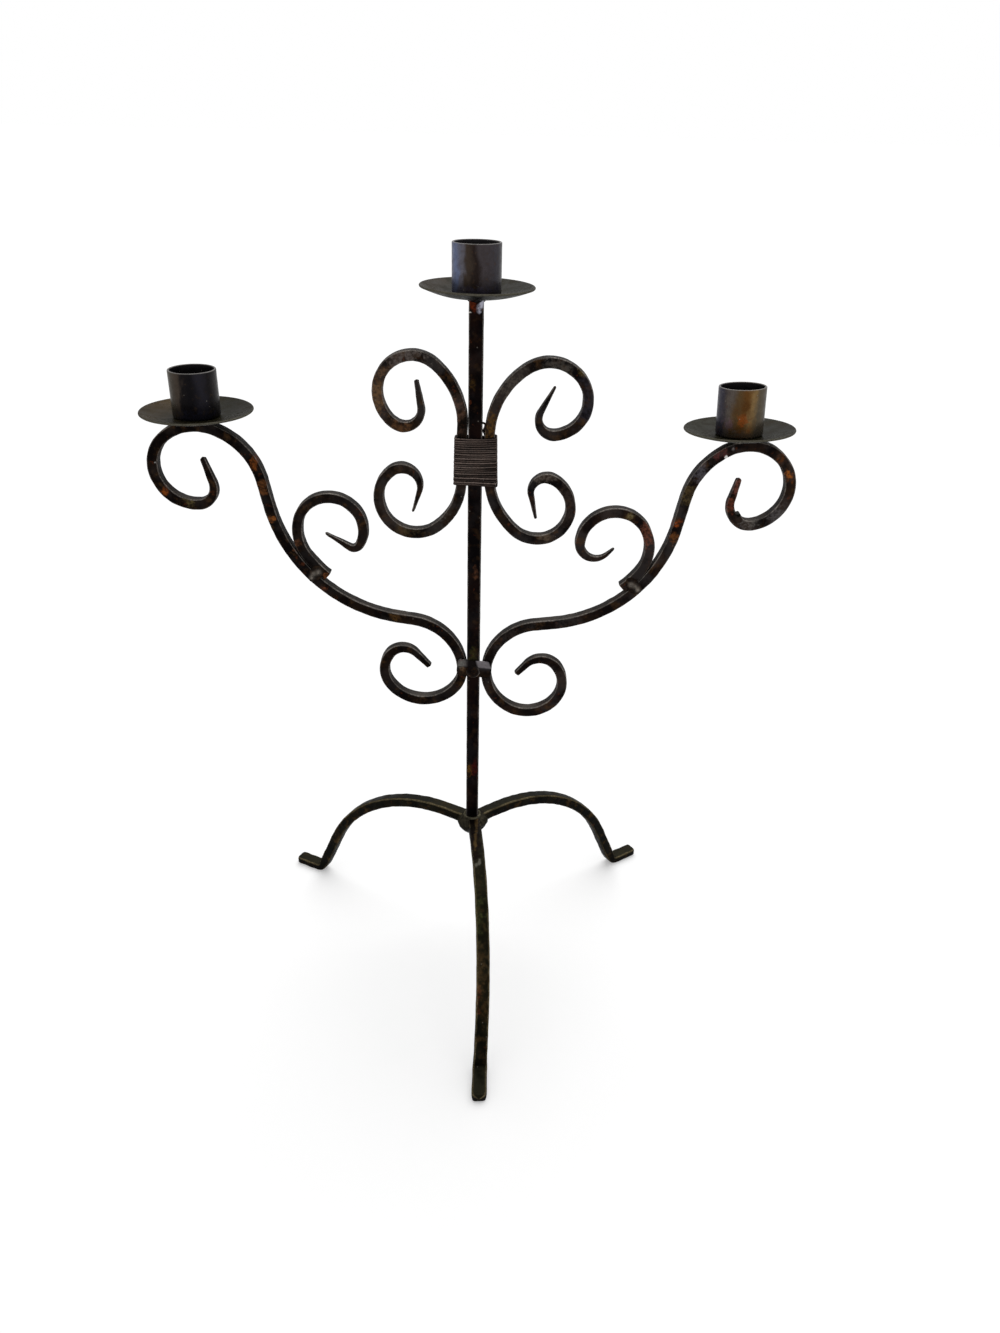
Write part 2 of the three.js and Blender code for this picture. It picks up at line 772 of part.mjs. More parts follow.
// ---- Assembly -----------------------------------------------------------------------------

const topSeat = seatOf(0, postTopHeight + clearance, upright);
const leftSeat = armSeat(leftArm, leftPanWeld, leftPanShift, upright);
const rightSeat = armSeat(rightArm, rightPanWeld, rightPanShift, rightCupLean);

const stand = new THREE.Group();
stand.name = 'torchere_candle_stand';
stand.add(
  makePost(),
  ...Object.entries(legs).map(([name, leg]) => makeLeg(name, leg)),
  makeHubWeld(),
  makeArm('left_arm', leftArm),
  makeArm('right_arm', rightArm),
  makeSprig('left_arm_scroll', leftArm, leftSprig),
  makeSprig('right_arm_scroll', rightArm, rightSprig),
  makeBead('left_arm_weld', leftArm, leftSprig),
  makeBead('right_arm_weld', rightArm, rightSprig),
  makeStrap(),
  makeRivet(),
  makeScroll('left_c_scroll', leftScroll),
  makeScroll('right_c_scroll', rightScroll),
  makeWire(),
  makeTopWeld(),
  makePanWeld('left', leftSeat, leftArm, leftPanWeld + panWeldDepth),
  makePanWeld('right', rightSeat, rightArm, rightPanWeld + panWeldDepth),
  ...makeCandleSeat('top', topSeat),
  ...makeCandleSeat('left', leftSeat),
  ...makeCandleSeat('right', rightSeat),
);

// The origin is the middle of the underside of the whole stand.
const bounds = new THREE.Box3().setFromObject(stand, true);
const middle = bounds.getCenter(new THREE.Vector3());
for (const mesh of stand.children) {
  mesh.position.sub(new THREE.Vector3(middle.x, middle.y, bounds.min.z));
}

export default stand;
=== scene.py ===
"""Three-light candle stand of forged square bar on a tripod foot, dressed for the picture.

Sizes are in millimetres from the post's axis and the floor; the front leg points to -Y.
"""

import logging
from dataclasses import dataclass, field
from enum import Enum
from typing import Sequence

import bpy
import numpy as np
from mathutils import Matrix


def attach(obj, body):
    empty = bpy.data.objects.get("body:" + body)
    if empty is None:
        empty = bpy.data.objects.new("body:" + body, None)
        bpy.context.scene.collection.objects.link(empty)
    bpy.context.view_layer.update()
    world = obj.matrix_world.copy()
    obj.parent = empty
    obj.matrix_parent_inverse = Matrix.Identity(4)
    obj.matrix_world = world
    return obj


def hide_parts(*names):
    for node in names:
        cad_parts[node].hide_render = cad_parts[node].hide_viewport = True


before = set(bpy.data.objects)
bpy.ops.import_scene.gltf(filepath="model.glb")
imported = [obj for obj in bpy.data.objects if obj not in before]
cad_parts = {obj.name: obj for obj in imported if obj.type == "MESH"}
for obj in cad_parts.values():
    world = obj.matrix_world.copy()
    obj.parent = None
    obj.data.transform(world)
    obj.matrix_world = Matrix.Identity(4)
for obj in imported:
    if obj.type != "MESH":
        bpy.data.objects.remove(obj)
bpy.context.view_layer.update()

log = logging.getLogger("candle_stand")

MILLIMETRE = 0.001
# Where the post stands in the shared frame; half its bar in the solids and in the picture; half an
# arm's bar in the solids; heights at which arms and C-scrolls are held; where the side seats stand.
POST_AXIS = np.array([1.7572, 32.5001, 0.0])
POST_STOCK_HALF = 4.0
POST_HALF = 4.12
ARM_STOCK_HALF = 3.2
ARM_WAIST = 221.3
SCROLL_WAIST = 362.6
LEFT_SEAT = -161.468
RIGHT_SEAT = 153.36
# Gaps: between two solids, behind a weld or a rivet's head, and between two bars in the picture.
CLEARANCE = 0.3
TIGHT = 0.1
TOUCHING = 0.06

Array = np.ndarray
Marks = dict[str, np.ndarray]
Colour = tuple[float, float, float, float]
Material = bpy.types.Material
Socket = bpy.types.NodeSocket


# ---- Colours and nodes ----


def tone(red: int, green: int, blue: int) -> Colour:
    """A colour as a screen shows it, 0 to 255, turned into the linear values of a shader.

    Args:
        red: Red as shown.
        green: Green as shown.
        blue: Blue as shown.

    Returns:
        The linear colour with full alpha.
    """
    shown = np.array([red, green, blue]) / 255.0
    linear = np.where(shown <= 0.04045, shown / 12.92, ((shown + 0.055) / 1.055) ** 2.4)
    return (float(linear[0]), float(linear[1]), float(linear[2]), 1.0)


class Tree:
    """A node tree with short calls to add nodes and links."""

    def __init__(self, tree: bpy.types.NodeTree) -> None:
        """Takes up the given tree."""
        self.tree = tree

    def node(self, kind: str, **settings: object) -> bpy.types.Node:
        """Adds a node.

        Args:
            kind: The node's type name.
            **settings: Properties to set on it.

        Returns:
            The node.
        """
        node = self.tree.nodes.new(kind)
        for key, value in settings.items():
            setattr(node, key, value)
        return node

    def feed(self, socket: Socket, value: object) -> None:
        """Links an output to the socket, or sets a plain value on it."""
        if isinstance(value, Socket):
            self.tree.links.new(value, socket)
        else:
            socket.default_value = value

    def maths(self, operation: str, first: object, second: object) -> Socket:
        """The result of one step of arithmetic on two values.

        Args:
            operation: Its name.
            first: A value or an output.
            second: Another one.

        Returns:
            The result.
        """
        node = self.node("ShaderNodeMath", operation=operation)
        self.feed(node.inputs[0], first)
        self.feed(node.inputs[1], second)
        return node.outputs["Value"]

    def times(self, first: object, second: object) -> Socket:
        """The product of two values."""
        return self.maths("MULTIPLY", first, second)


class Bench(Tree):
    """A material's node tree, with short calls for the nodes that the finishes use."""

    SHARE, UNDER, OVER, MIXED = 0, 6, 7, 2

    def __init__(self, name: str, seed: float, colour: object = None) -> None:
        """Makes an empty material.

        Args:
            name: Its name.
            seed: The seed of its noises.
            colour: The colour that it starts from.
        """
        self.material = bpy.data.materials.new(name)
        self.material.use_nodes = True
        super().__init__(self.material.node_tree)
        self.tree.nodes.clear()
        self.seed = seed
        self.colour = colour
        self.place = self.node("ShaderNodeTexCoord").outputs["Object"]

    def shifted(self, shift: Sequence[float], scale: Sequence[float] = (1, 1, 1)) -> Socket:
        """The place on the object, moved and scaled.

        Args:
            shift: How far it is moved.
            scale: Its scale along each axis.

        Returns:
            The place.
        """
        mapping = self.node("ShaderNodeMapping")
        self.feed(mapping.inputs["Vector"], self.place)
        mapping.inputs["Scale"].default_value = scale
        mapping.inputs["Location"].default_value = shift
        return mapping.outputs["Vector"]

    def noise(
        self, size: float, more: float, detail: float, stretch: Sequence[float] = (1, 1, 1),
    ) -> Socket:
        """Cloudy noise from 0 to 1.

        Args:
            size: Size of its features in millimetres.
            more: What is added to the seed, so that each noise of a finish is its own.
            detail: Octaves of finer noise.
            stretch: How much the features are squeezed along each axis.

        Returns:
            The noise's value.
        """
        seed = self.seed + more
        noise = self.node("ShaderNodeTexNoise", noise_dimensions="3D")
        self.feed(noise.inputs["Vector"], self.shifted((seed * 0.37, seed * 0.61, seed * 0.23), stretch))
        noise.inputs["Scale"].default_value = 1.0 / (size * MILLIMETRE)
        noise.inputs["Detail"].default_value = detail
        noise.inputs["Roughness"].default_value = 0.6
        return noise.outputs["Fac"]

    def cells(self, size: float) -> Socket:
        """Distance to the middle of scattered cells, 0 in each middle.

        Args:
            size: Size of a cell in millimetres.

        Returns:
            The distance.
        """
        shift = (self.seed * 0.29, self.seed * 0.53, self.seed * 0.41)
        cells = self.node("ShaderNodeTexVoronoi", feature="F1")
        self.feed(cells.inputs["Vector"], self.shifted(shift))
        cells.inputs["Scale"].default_value = 1.0 / (size * MILLIMETRE)
        return cells.outputs["Distance"]

    def mark(self, name: str) -> Socket:
        """A value stored on the mesh's vertices under the given name."""
        return self.node("ShaderNodeAttribute", attribute_name=name).outputs["Fac"]

    def spread(
        self, value: object, low: float, high: float, to_low: float = 0.0, to_high: float = 1.0,
    ) -> Socket:
        """Maps a value smoothly from one range to another.

        Args:
            value: The value.
            low: Start of its range.
            high: End of its range.
            to_low: What the start becomes.
            to_high: What the end becomes.

        Returns:
            The mapped value.
        """
        ranged = self.node("ShaderNodeMapRange", interpolation_type="SMOOTHSTEP")
        for socket, number in zip(ranged.inputs, (value, low, high, to_low, to_high)):
            self.feed(socket, number)
        return ranged.outputs["Result"]

    def lay(self, colour: Colour, *shares: object) -> None:
        """Lays a colour over the one so far.

        Args:
            colour: The colour.
            *shares: Its share is their product.
        """
        share = shares[0]
        for factor in shares[1:]:
            share = self.times(share, factor)
        node = self.node("ShaderNodeMix", data_type="RGBA")
        self.feed(node.inputs[self.SHARE], share)
        self.feed(node.inputs[self.UNDER], self.colour)
        self.feed(node.inputs[self.OVER], colour)
        self.colour = node.outputs[self.MIXED]

    def stain(self, patches: Sequence["Patch"], ragged: object, broken: object = 1.0) -> None:
        """Lays patches over the colour so far, stains and also painted light: full within their size,
        ragged and faded at their edge.

        Args:
            patches: The stains and painted light.
            ragged: Noise that breaks their edges up.
            broken: How much of them shows, as fine noise.
        """
        for patch in patches:
            middle = (POST_AXIS + np.array([patch.x, 0.0, patch.up])) * MILLIMETRE
            scale = np.array([1.0, 0.0, 1.0 / patch.tall]) / (patch.size * MILLIMETRE)
            vector = self.place
            for operation, value in (("SUBTRACT", middle), ("MULTIPLY", scale)):
                node = self.node("ShaderNodeVectorMath", operation=operation)
                self.feed(node.inputs[0], vector)
                node.inputs[1].default_value = value
                vector = node.outputs["Vector"]
            reach = self.node("ShaderNodeVectorMath", operation="LENGTH")
            self.feed(reach.inputs[0], vector)
            worn = self.maths("ADD", reach.outputs["Value"], self.spread(ragged, 0.3, 0.7, -0.6, 0.6))
            self.lay(patch.colour, self.spread(worn, 0.35, 1.35, patch.strength, 0.0), broken)

    def bumped(self, height: object, depth: float, below: object = None) -> Socket:
        """A surface roughened by a height.

        Args:
            height: The height, 0 to 1.
            depth: What 1 is in millimetres.
            below: The bump that this one is added to.

        Returns:
            The normal.
        """
        node = self.node("ShaderNodeBump")
        node.inputs["Strength"].default_value = 1.0
        node.inputs["Distance"].default_value = depth * MILLIMETRE
        self.feed(node.inputs["Height"], height)
        if below is not None:
            self.feed(node.inputs["Normal"], below)
        return node.outputs["Normal"]

    def metal(
        self, stain: object, rough: tuple[float, float], normal: object, metallic: float,
        grazing: float = 0.1,
    ) -> Material:
        """Closes the tree with a metal shader in the colour so far.

        Args:
            stain: Noise that its roughness follows.
            rough: Lowest and highest roughness.
            normal: Its bumped normal.
            metallic: How far it is bare metal.
            grazing: How much it mirrors along its edges.

        Returns:
            The finished material.
        """
        shader = self.node("ShaderNodeBsdfPrincipled")
        self.feed(shader.inputs["Base Color"], self.colour)
        self.feed(shader.inputs["Roughness"], self.spread(stain, 0.3, 0.7, *rough))
        self.feed(shader.inputs["Normal"], normal)
        shader.inputs["Metallic"].default_value = metallic
        shader.inputs["Specular IOR Level"].default_value = 0.15
        shader.inputs["Specular Tint"].default_value = (grazing, grazing, grazing, 1.0)
        output = self.node("ShaderNodeOutputMaterial")
        self.feed(output.inputs["Surface"], shader.outputs["BSDF"])
        return self.material


# ---- Finishes ----


@dataclass(frozen=True)
class Patch:
    """A patch of colour that goes right through from front to back, placed from the post's axis, in mm;
    most are stains, some are painted highlights, shade or reflections.
    """

    x: float
    up: float
    size: float
    colour: Colour
    strength: float
    tall: float = 1.0


def patch_rows(*rows: tuple[float, ...]) -> tuple[Patch, ...]:
    """Patches from rows of x, height, size, red, green, blue, strength and perhaps tallness: stains, and
    some painted highlights, shade and reflections.
    """
    return tuple(Patch(*row[:3], tone(*row[3:6]), *row[6:]) for row in rows)


@dataclass(frozen=True)
class ForgedIron:
    """Waxed black iron, mottled brown and bronze, with pale flecks, painted grey sheen, dust and painted
    light on its upward faces, and rubbed edges that carry a painted highlight on the upper ones.
    """

    name: str
    seed: float
    black: Colour = tone(9, 6, 6)
    brown: Colour = tone(25, 17, 12)
    grey: Colour = tone(66, 61, 60)
    bronze: Colour = tone(78, 55, 32)
    rust: Colour = tone(96, 48, 24)
    worn: Colour = tone(150, 143, 136)
    dust_and_top_light: Colour = tone(70, 67, 64)
    painted_sheen_share: float = 0.2
    fleck: Colour = tone(104, 99, 92)
    bronze_share: float = 0.5
    rust_share: float = 0.3
    worn_and_lit_edge_share: float = 0.8
    rough: tuple[float, float] = (0.3, 0.52)
    bare: float = 0.65
    patches: tuple[Patch, ...] = ()
    fresh_and_painted_light: tuple[Patch, ...] = ()

    def make(self) -> Material:
        """Builds the material: clouds, painted grey sheen, stains, dust and painted light on the tops,
        rubbed edges with a painted highlight on the upper ones, fresh stains with some painted
        highlights, and last the flecks.

        Returns:
            The material.
        """
        bench = Bench(self.name, self.seed, self.black)
        cloud = bench.noise(14.0, 0.0, 4.0)
        stain = bench.noise(7.0, 3.0, 5.0)
        grit = bench.noise(0.9, 5.0, 2.0)
        sheen = bench.noise(17.0, 11.0, 5.0)
        spots = bench.noise(4.0, 7.0, 4.0)
        broken = bench.spread(bench.noise(1.5, 13.0, 3.0), 0.38, 0.6, 0.25, 1.0)
        bench.lay(self.brown, bench.spread(cloud, 0.42, 0.66))
        # Painted sheen: a grey laid on in broad clouds stands for the lighter sheen that reflected light
        # gives the bars.
        bench.lay(self.grey, bench.spread(sheen, 0.46, 0.62), self.painted_sheen_share)
        bench.lay(self.bronze, bench.spread(stain, 0.52, 0.72), self.bronze_share)
        bench.lay(self.rust, bench.spread(spots, 0.62, 0.72), self.rust_share)
        bench.stain(self.patches, spots, broken)
        # Dust and painted light: faces that turn up are made lighter, as where the lamp above falls on
        # them.
        bench.lay(self.dust_and_top_light, bench.mark("top"), bench.spread(stain, 0.3, 0.6, 0.55, 1.0), 0.75)
        # Rubbed edges, which also carry a painted highlight: the edge mark is stronger on the upper
        # edges.
        rubbed_and_lit_edge = bench.times(bench.mark("edge"), bench.spread(grit, 0.35, 0.7, 0.35, 1.0))
        bench.lay(self.worn, rubbed_and_lit_edge, bench.spread(cloud, 0.35, 0.6, 0.4, 1.0), self.worn_and_lit_edge_share)
        # Fresh stains, and painted highlights among them.
        bench.stain(self.fresh_and_painted_light, spots)
        bench.lay(self.fleck, bench.spread(bench.cells(6.5), 0.03, 0.075, 0.6, 0.0))
        scale = bench.bumped(stain, 0.14, bench.bumped(cloud, 0.5))
        scratch = bench.noise(0.7, 9.0, 2.0, (1.0, 1.0, 0.18))
        pitted = bench.bumped(bench.maths("ADD", grit, scratch), 0.02, scale)
        return bench.metal(stain, self.rough, pitted, self.bare)


@dataclass(frozen=True)
class TemperedCup:
    """Thin steel cup with heat colours that run round it in soft upright bands, which also stand for
    painted reflections.
    """

    name: str
    seed: float
    axis: tuple[float, float]
    bands: tuple[tuple[int, int, int, int], ...]
    spot: Colour
    spot_share: float = 0.5
    rim: Colour = tone(112, 109, 106)
    inside: Colour = tone(22, 20, 22)
    patches: tuple[Patch, ...] = ()

    def make(self) -> Material:
        """Builds the material; a band's place is its angle from the front, and is blurred by noise. The
        bands are heat colours and also painted reflections.

        Returns:
            The material.
        """
        bench = Bench(self.name, self.seed)
        parts = bench.node("ShaderNodeSeparateXYZ")
        bench.feed(parts.inputs["Vector"], bench.place)
        across = bench.maths("SUBTRACT", parts.outputs["X"], self.axis[0] * MILLIMETRE)
        toward = bench.maths("SUBTRACT", self.axis[1] * MILLIMETRE, parts.outputs["Y"])
        cloud = bench.noise(9.0, 0.0, 5.0, (1.0, 1.0, 0.55))
        wander = bench.spread(cloud, 0.2, 0.8, -0.2, 0.2)
        turn = bench.maths("ADD", bench.maths("ARCTAN2", across, toward), wander)
        ramp = bench.node("ShaderNodeValToRGB")
        ramp.color_ramp.interpolation = "EASE"
        stops = ramp.color_ramp.elements
        for index, (degrees, *shown) in enumerate(self.bands):
            stop = stops[index] if index < 2 else stops.new(1.0)
            stop.position = degrees / 360.0 + 0.5
            stop.color = tone(*shown)
        bench.feed(ramp.inputs["Fac"], bench.maths("ADD", bench.times(turn, 0.5 / np.pi), 0.5))
        bench.colour = ramp.outputs["Color"]
        stain = bench.noise(2.6, 4.0, 5.0)
        grit = bench.noise(0.6, 6.0, 2.0)
        bench.lay(tone(34, 30, 30), bench.spread(stain, 0.3, 0.75, 0.0, 0.3))
        bench.lay(self.spot, bench.spread(stain, 0.58, 0.68), self.spot_share)
        bench.stain(self.patches, stain, bench.spread(grit, 0.35, 0.6, 0.35, 1.0))
        # Painted shade: the inside of the cup is laid over in a dark colour.
        bench.lay(self.inside, bench.mark("inside"))
        bench.lay(tone(140, 134, 126), bench.spread(bench.cells(4.5), 0.04, 0.09, 0.5, 0.0))
        # Painted highlight along the rolled lip.
        bench.lay(self.rim, bench.mark("edge"), bench.spread(grit, 0.3, 0.7, 0.55, 1.0))
        drawn = bench.noise(0.8, 8.0, 2.0, (1.0, 1.0, 0.15))
        normal = bench.bumped(bench.maths("ADD", drawn, grit), 0.02, bench.bumped(cloud, 0.3))
        return bench.metal(stain, (0.26, 0.42), normal, 0.6, 0.7)


@dataclass(frozen=True)
class SaucerSteel:
    """Olive-grey sheet steel with faint brown clouds, painted shade on its underside and a painted
    highlight along its rim.
    """

    name: str
    seed: float
    olive: Colour = tone(38, 36, 23)
    brown: Colour = tone(45, 35, 18)
    grey: Colour = tone(45, 42, 33)
    rim: Colour = tone(82, 79, 70)
    under: Colour = tone(36, 36, 30)
    patches: tuple[Patch, ...] = ()

    def make(self) -> Material:
        """Builds the material: clouds, a few dark specks, painted shade underneath, stains and the
        painted highlight along the rim.

        Returns:
            The material.
        """
        bench = Bench(self.name, self.seed, self.olive)
        cloud = bench.noise(26.0, 0.0, 3.0)
        stain = bench.noise(6.0, 2.0, 5.0)
        grit = bench.noise(0.8, 4.0, 2.0)
        bench.lay(self.grey, bench.spread(cloud, 0.38, 0.64))
        bench.lay(self.brown, bench.spread(stain, 0.5, 0.75, 0.0, 0.6))
        bench.lay(tone(56, 51, 42), bench.spread(grit, 0.5, 0.75, 0.0, 0.3))
        bench.lay(tone(24, 20, 16), bench.spread(bench.cells(11.0), 0.02, 0.05, 0.7, 0.0))
        # Painted shade: the underside gets a darker, greyer tone.
        bench.lay(self.under, bench.mark("under"), 0.6)
        bench.stain(self.patches, stain)
        # Painted highlight along the rim.
        bench.lay(self.rim, bench.mark("edge"), bench.spread(grit, 0.3, 0.65, 0.5, 1.0))
        normal = bench.bumped(grit, 0.012, bench.bumped(stain, 0.05, bench.bumped(cloud, 0.3)))
        return bench.metal(stain, (0.34, 0.5), normal, 0.6, 0.2)


@dataclass(frozen=True)
class WeldMetal:
    """Rippled dark weld, with a painted grey highlight where it stands proud, so that only its hollows
    stay black.
    """

    name: str
    seed: float
    dark: Colour = tone(20, 15, 13)
    grey: Colour = tone(104, 100, 96)
    brown: Colour = tone(44, 33, 24)

    def make(self) -> Material:
        """Builds the material from the height stored on the mesh and fine noise.

        Returns:
            The material.
        """
        bench = Bench(self.name, self.seed, self.dark)
        stain = bench.noise(2.4, 0.0, 4.0)
        grit = bench.noise(0.6, 2.0, 2.0)
        bench.lay(self.brown, bench.spread(stain, 0.4, 0.7))
        # Painted highlight: grey laid on where the mesh marks the weld as standing proud.
        bench.lay(self.grey, bench.mark("edge"), bench.spread(stain, 0.3, 0.62, 0.3, 1.0))
        normal = bench.bumped(grit, 0.05, bench.bumped(stain, 0.3))
        return bench.metal(stain, (0.3, 0.5), normal, 0.7)


@dataclass(frozen=True)
class BindingWire:
    """Annealed iron wire, brown and black, with a painted grey-brown highlight on the lit crown of each
    turn and painted shade, black, in the grooves.
    """

    name: str
    seed: float
    groove_shade: Colour = tone(10, 7, 7)
    lit_crown: Colour = tone(142, 126, 118)
    brown: Colour = tone(36, 26, 22)

    def make(self) -> Material:
        """Builds the material from the lit crown stored on the mesh and fine noise.

        Returns:
            The material.
        """
        bench = Bench(self.name, self.seed, self.groove_shade)
        stain = bench.noise(3.2, 0.0, 4.0)
        grit = bench.noise(0.5, 2.0, 2.0)
        bench.lay(self.brown, bench.spread(stain, 0.4, 0.62))
        # Painted highlight on the lit crown; the black under it is painted shade in the grooves.
        bench.lay(self.lit_crown, bench.mark("edge"), bench.spread(grit, 0.3, 0.65, 0.35, 1.0))
        return bench.metal(stain, (0.34, 0.5), bench.bumped(grit, 0.03), 0.6)


class Slot(Enum):
    """The record's material slots."""

    BAR = "bar_iron"
    FOOT = "foot_iron"
    WELD = "weld_iron"
    WIRE = "wire_iron"
    PAN = "pan_steel"
    CUP = "cup_steel"


# ---- Surfaces ----


def ripple(seed: int, along: Array, around: Array, length: float, waves: int = 7) -> Array:
    """Smooth seeded unevenness between about -1 and 1.

    A sum of sine waves: each has a random pitch near the given length along the piece, a random
    whole number of waves round it, and a random start.

    Args:
        seed: Which unevenness it is.
        along: Distance along the piece, mm.
        around: Angle round the piece, radians; it fits together after a full turn.
        length: Typical length of a wave, mm.
        waves: How many waves are summed.

    Returns:
        The unevenness, as an array of the shape that the two arguments give together.
    """
    random = np.random.default_rng(seed)
    pitch = 2 * np.pi / (length * random.uniform(0.6, 1.7, waves))
    lobes = random.integers(0, 4, waves)
    start = random.uniform(0, 2 * np.pi, (2, waves))
    size = random.uniform(0.5, 1.0, waves)
    wave = np.sin(along[..., None] * pitch + start[0]) * np.cos(around[..., None] * lobes + start[1])
    return (wave * size).sum(-1) / size.sum() * 1.8


def rounded(points: Sequence[Sequence[float]], passes: int = 2, closed: bool = False) -> Array:
    """An outline with its corners cut off again and again, each time a quarter from both sides.

    Args:
        points: The outline.
        passes: How many times its corners are cut.
        closed: Whether its last point joins its first.

    Returns:
        The smoother outline.
    """
    line = np.array(points, float)
    for _ in range(passes):
        after = np.roll(line, -1, 0) if closed else line[1:]
        before = line if closed else line[:-1]
        cut = np.stack([0.75 * before + 0.25 * after, 0.25 * before + 0.75 * after], 1)
        cut = cut.reshape(-1, line.shape[1])
        line = cut if closed else np.vstack([line[:1], cut, line[-1:]])
    return line


def make_mesh(name: str, grid: Array, marks: Marks, along_closed: bool = False) -> bpy.types.Object:
    """A closed mesh over a grid of points that wraps round in its second direction.

    Rings of the grid are joined by quads. Unless the grid also closes along its length, each end is
    closed by triangles to the middle of its last ring. Faces are turned so that the enclosed volume,
    the sum of the signed tetrahedra from the origin, is positive.

    Args:
        name: The object's name.
        grid: Points in millimetres from the post's axis, rings by points round a ring by 3.
        marks: Values for the shader, each rings by points.
        along_closed: Whether the last ring joins the first.

    Returns:
        The object, at the origin, in metres.
    """
    rings, count = grid.shape[:2]
    index = np.arange(rings * count).reshape(rings, count)
    if along_closed:
        index = np.vstack([index, index[:1]])
    beside = np.roll(index, -1, 1)
    quads = np.stack([index[:-1], beside[:-1], beside[1:], index[1:]], -1).reshape(-1, 4)
    points = grid.reshape(-1, 3)
    corners = np.stack([quads[:, [0, 1, 2]], quads[:, [0, 2, 3]]], 1).reshape(-1, 3)
    fans = np.zeros((0, 3), int)
    if not along_closed:
        poles = np.stack([grid[0].mean(0), grid[-1].mean(0)])
        first = np.stack([np.full(count, rings * count), beside[0], index[0]], -1)
        last = np.stack([np.full(count, rings * count + 1), index[-1], beside[-1]], -1)
        fans = np.vstack([first, last])
        points = np.vstack([points, poles])
    triangles = points[np.vstack([corners, fans])]
    volume = np.einsum("ij,ij->", triangles[:, 0], np.cross(triangles[:, 1], triangles[:, 2]))
    faces = [*quads.tolist(), *fans.tolist()]
    if volume < 0:
        faces = [face[::-1] for face in faces]
    mesh = bpy.data.meshes.new(name)
    mesh.from_pydata(((points + POST_AXIS) * MILLIMETRE).tolist(), [], faces)
    mesh.polygons.foreach_set("use_smooth", np.ones(len(faces), bool))
    for key, values in marks.items():
        flat = np.broadcast_to(values, (rings, count)).reshape(-1)
        if not along_closed:
            flat = np.append(flat, [np.mean(values[0]), np.mean(values[-1])])
        mesh.attributes.new(key, "FLOAT", "POINT").data.foreach_set("value", flat.astype(np.float32))
    mesh.update()
    piece = bpy.data.objects.new(name, mesh)
    bpy.context.scene.collection.objects.link(piece)
    return piece


def add_piece(
    name: str, points: Array, marks: Marks, finish: Material, node: str, ring: bool = False,
) -> None:
    """Builds a piece and gives it its finish and its place in the frame.

    Args:
        name: Its name.
        points: Its grid of points.
        marks: Values for the shader.
        finish: Its material.
        node: The solid that it stands for.
        ring: Whether its grid closes along its length.
    """
    piece = make_mesh(name, points, marks, ring)
    piece.data.materials.append(finish)
    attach(piece, "root")
    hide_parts(node)
    log.info("%s: %d faces", piece.name, len(piece.data.polygons))


# ---- Bars ----


@dataclass(frozen=True)
class Bend:
    """A bend of a bar: away from the post when its sweep, in degrees, is positive."""

    radius: float
    sweep: float

    @property
    def length(self) -> float:
        """Length of the bar's middle in the bend."""
        return self.radius * np.radians(abs(self.sweep))


@dataclass(frozen=True)
class Straight:
    """A straight stretch of a bar."""

    length: float


Move = Bend | Straight


@dataclass
class Line:
    """A bar's centre line in its upright plane, as arrays along its length."""

    out: Array
    up: Array
    heading: Array
    at: Array

    @classmethod
    def bent(
        cls, out: float, up: float, heading: float, moves: Sequence[Move], hand: int = 1,
        step: float = 0.8,
    ) -> "Line":
        """Follows a list of moves; on a bend the heading turns evenly with the distance.

        Args:
            out: Where it starts, from the post's axis.
            up: Height at which it starts.
            heading: Direction in which it starts, radians.
            moves: The stretches and bends.
            hand: 1 where a positive bend turns clockwise, -1 where it turns the other way.
            step: Distance between two points.

        Returns:
            The line.
        """
        parts = [np.array([[out, up, heading, 0.0]])]
        for move in moves:
            x, z, h, at = parts[-1][-1]
            run = np.linspace(0, move.length, max(2, int(np.ceil(move.length / step))) + 1)[1:]
            if isinstance(move, Straight):
                turn = np.full_like(run, h)
                x, z = x + run * np.cos(h), z + run * np.sin(h)
            else:
                curve = -hand * np.sign(move.sweep) / move.radius
                turn = h + curve * run
                x, z = x + (np.sin(turn) - np.sin(h)) / curve, z - (np.cos(turn) - np.cos(h)) / curve
            parts.append(np.stack([x, z, turn, at + run], -1))
        return cls(*np.vstack(parts).T)

    def reversed(self) -> "Line":
        """The same line walked from its end to its start."""
        heading, at = self.heading[::-1] + np.pi, self.at[-1] - self.at[::-1]
        return Line(self.out[::-1], self.up[::-1], heading, at)

    def joined(self, other: "Line") -> "Line":
        """This line followed by another that starts at its end."""
        return Line(
            np.append(self.out, other.out[1:]),
            np.append(self.up, other.up[1:]),
            np.append(self.heading, other.heading[1:]),
            np.append(self.at, other.at[1:] + self.at[-1]),
        )


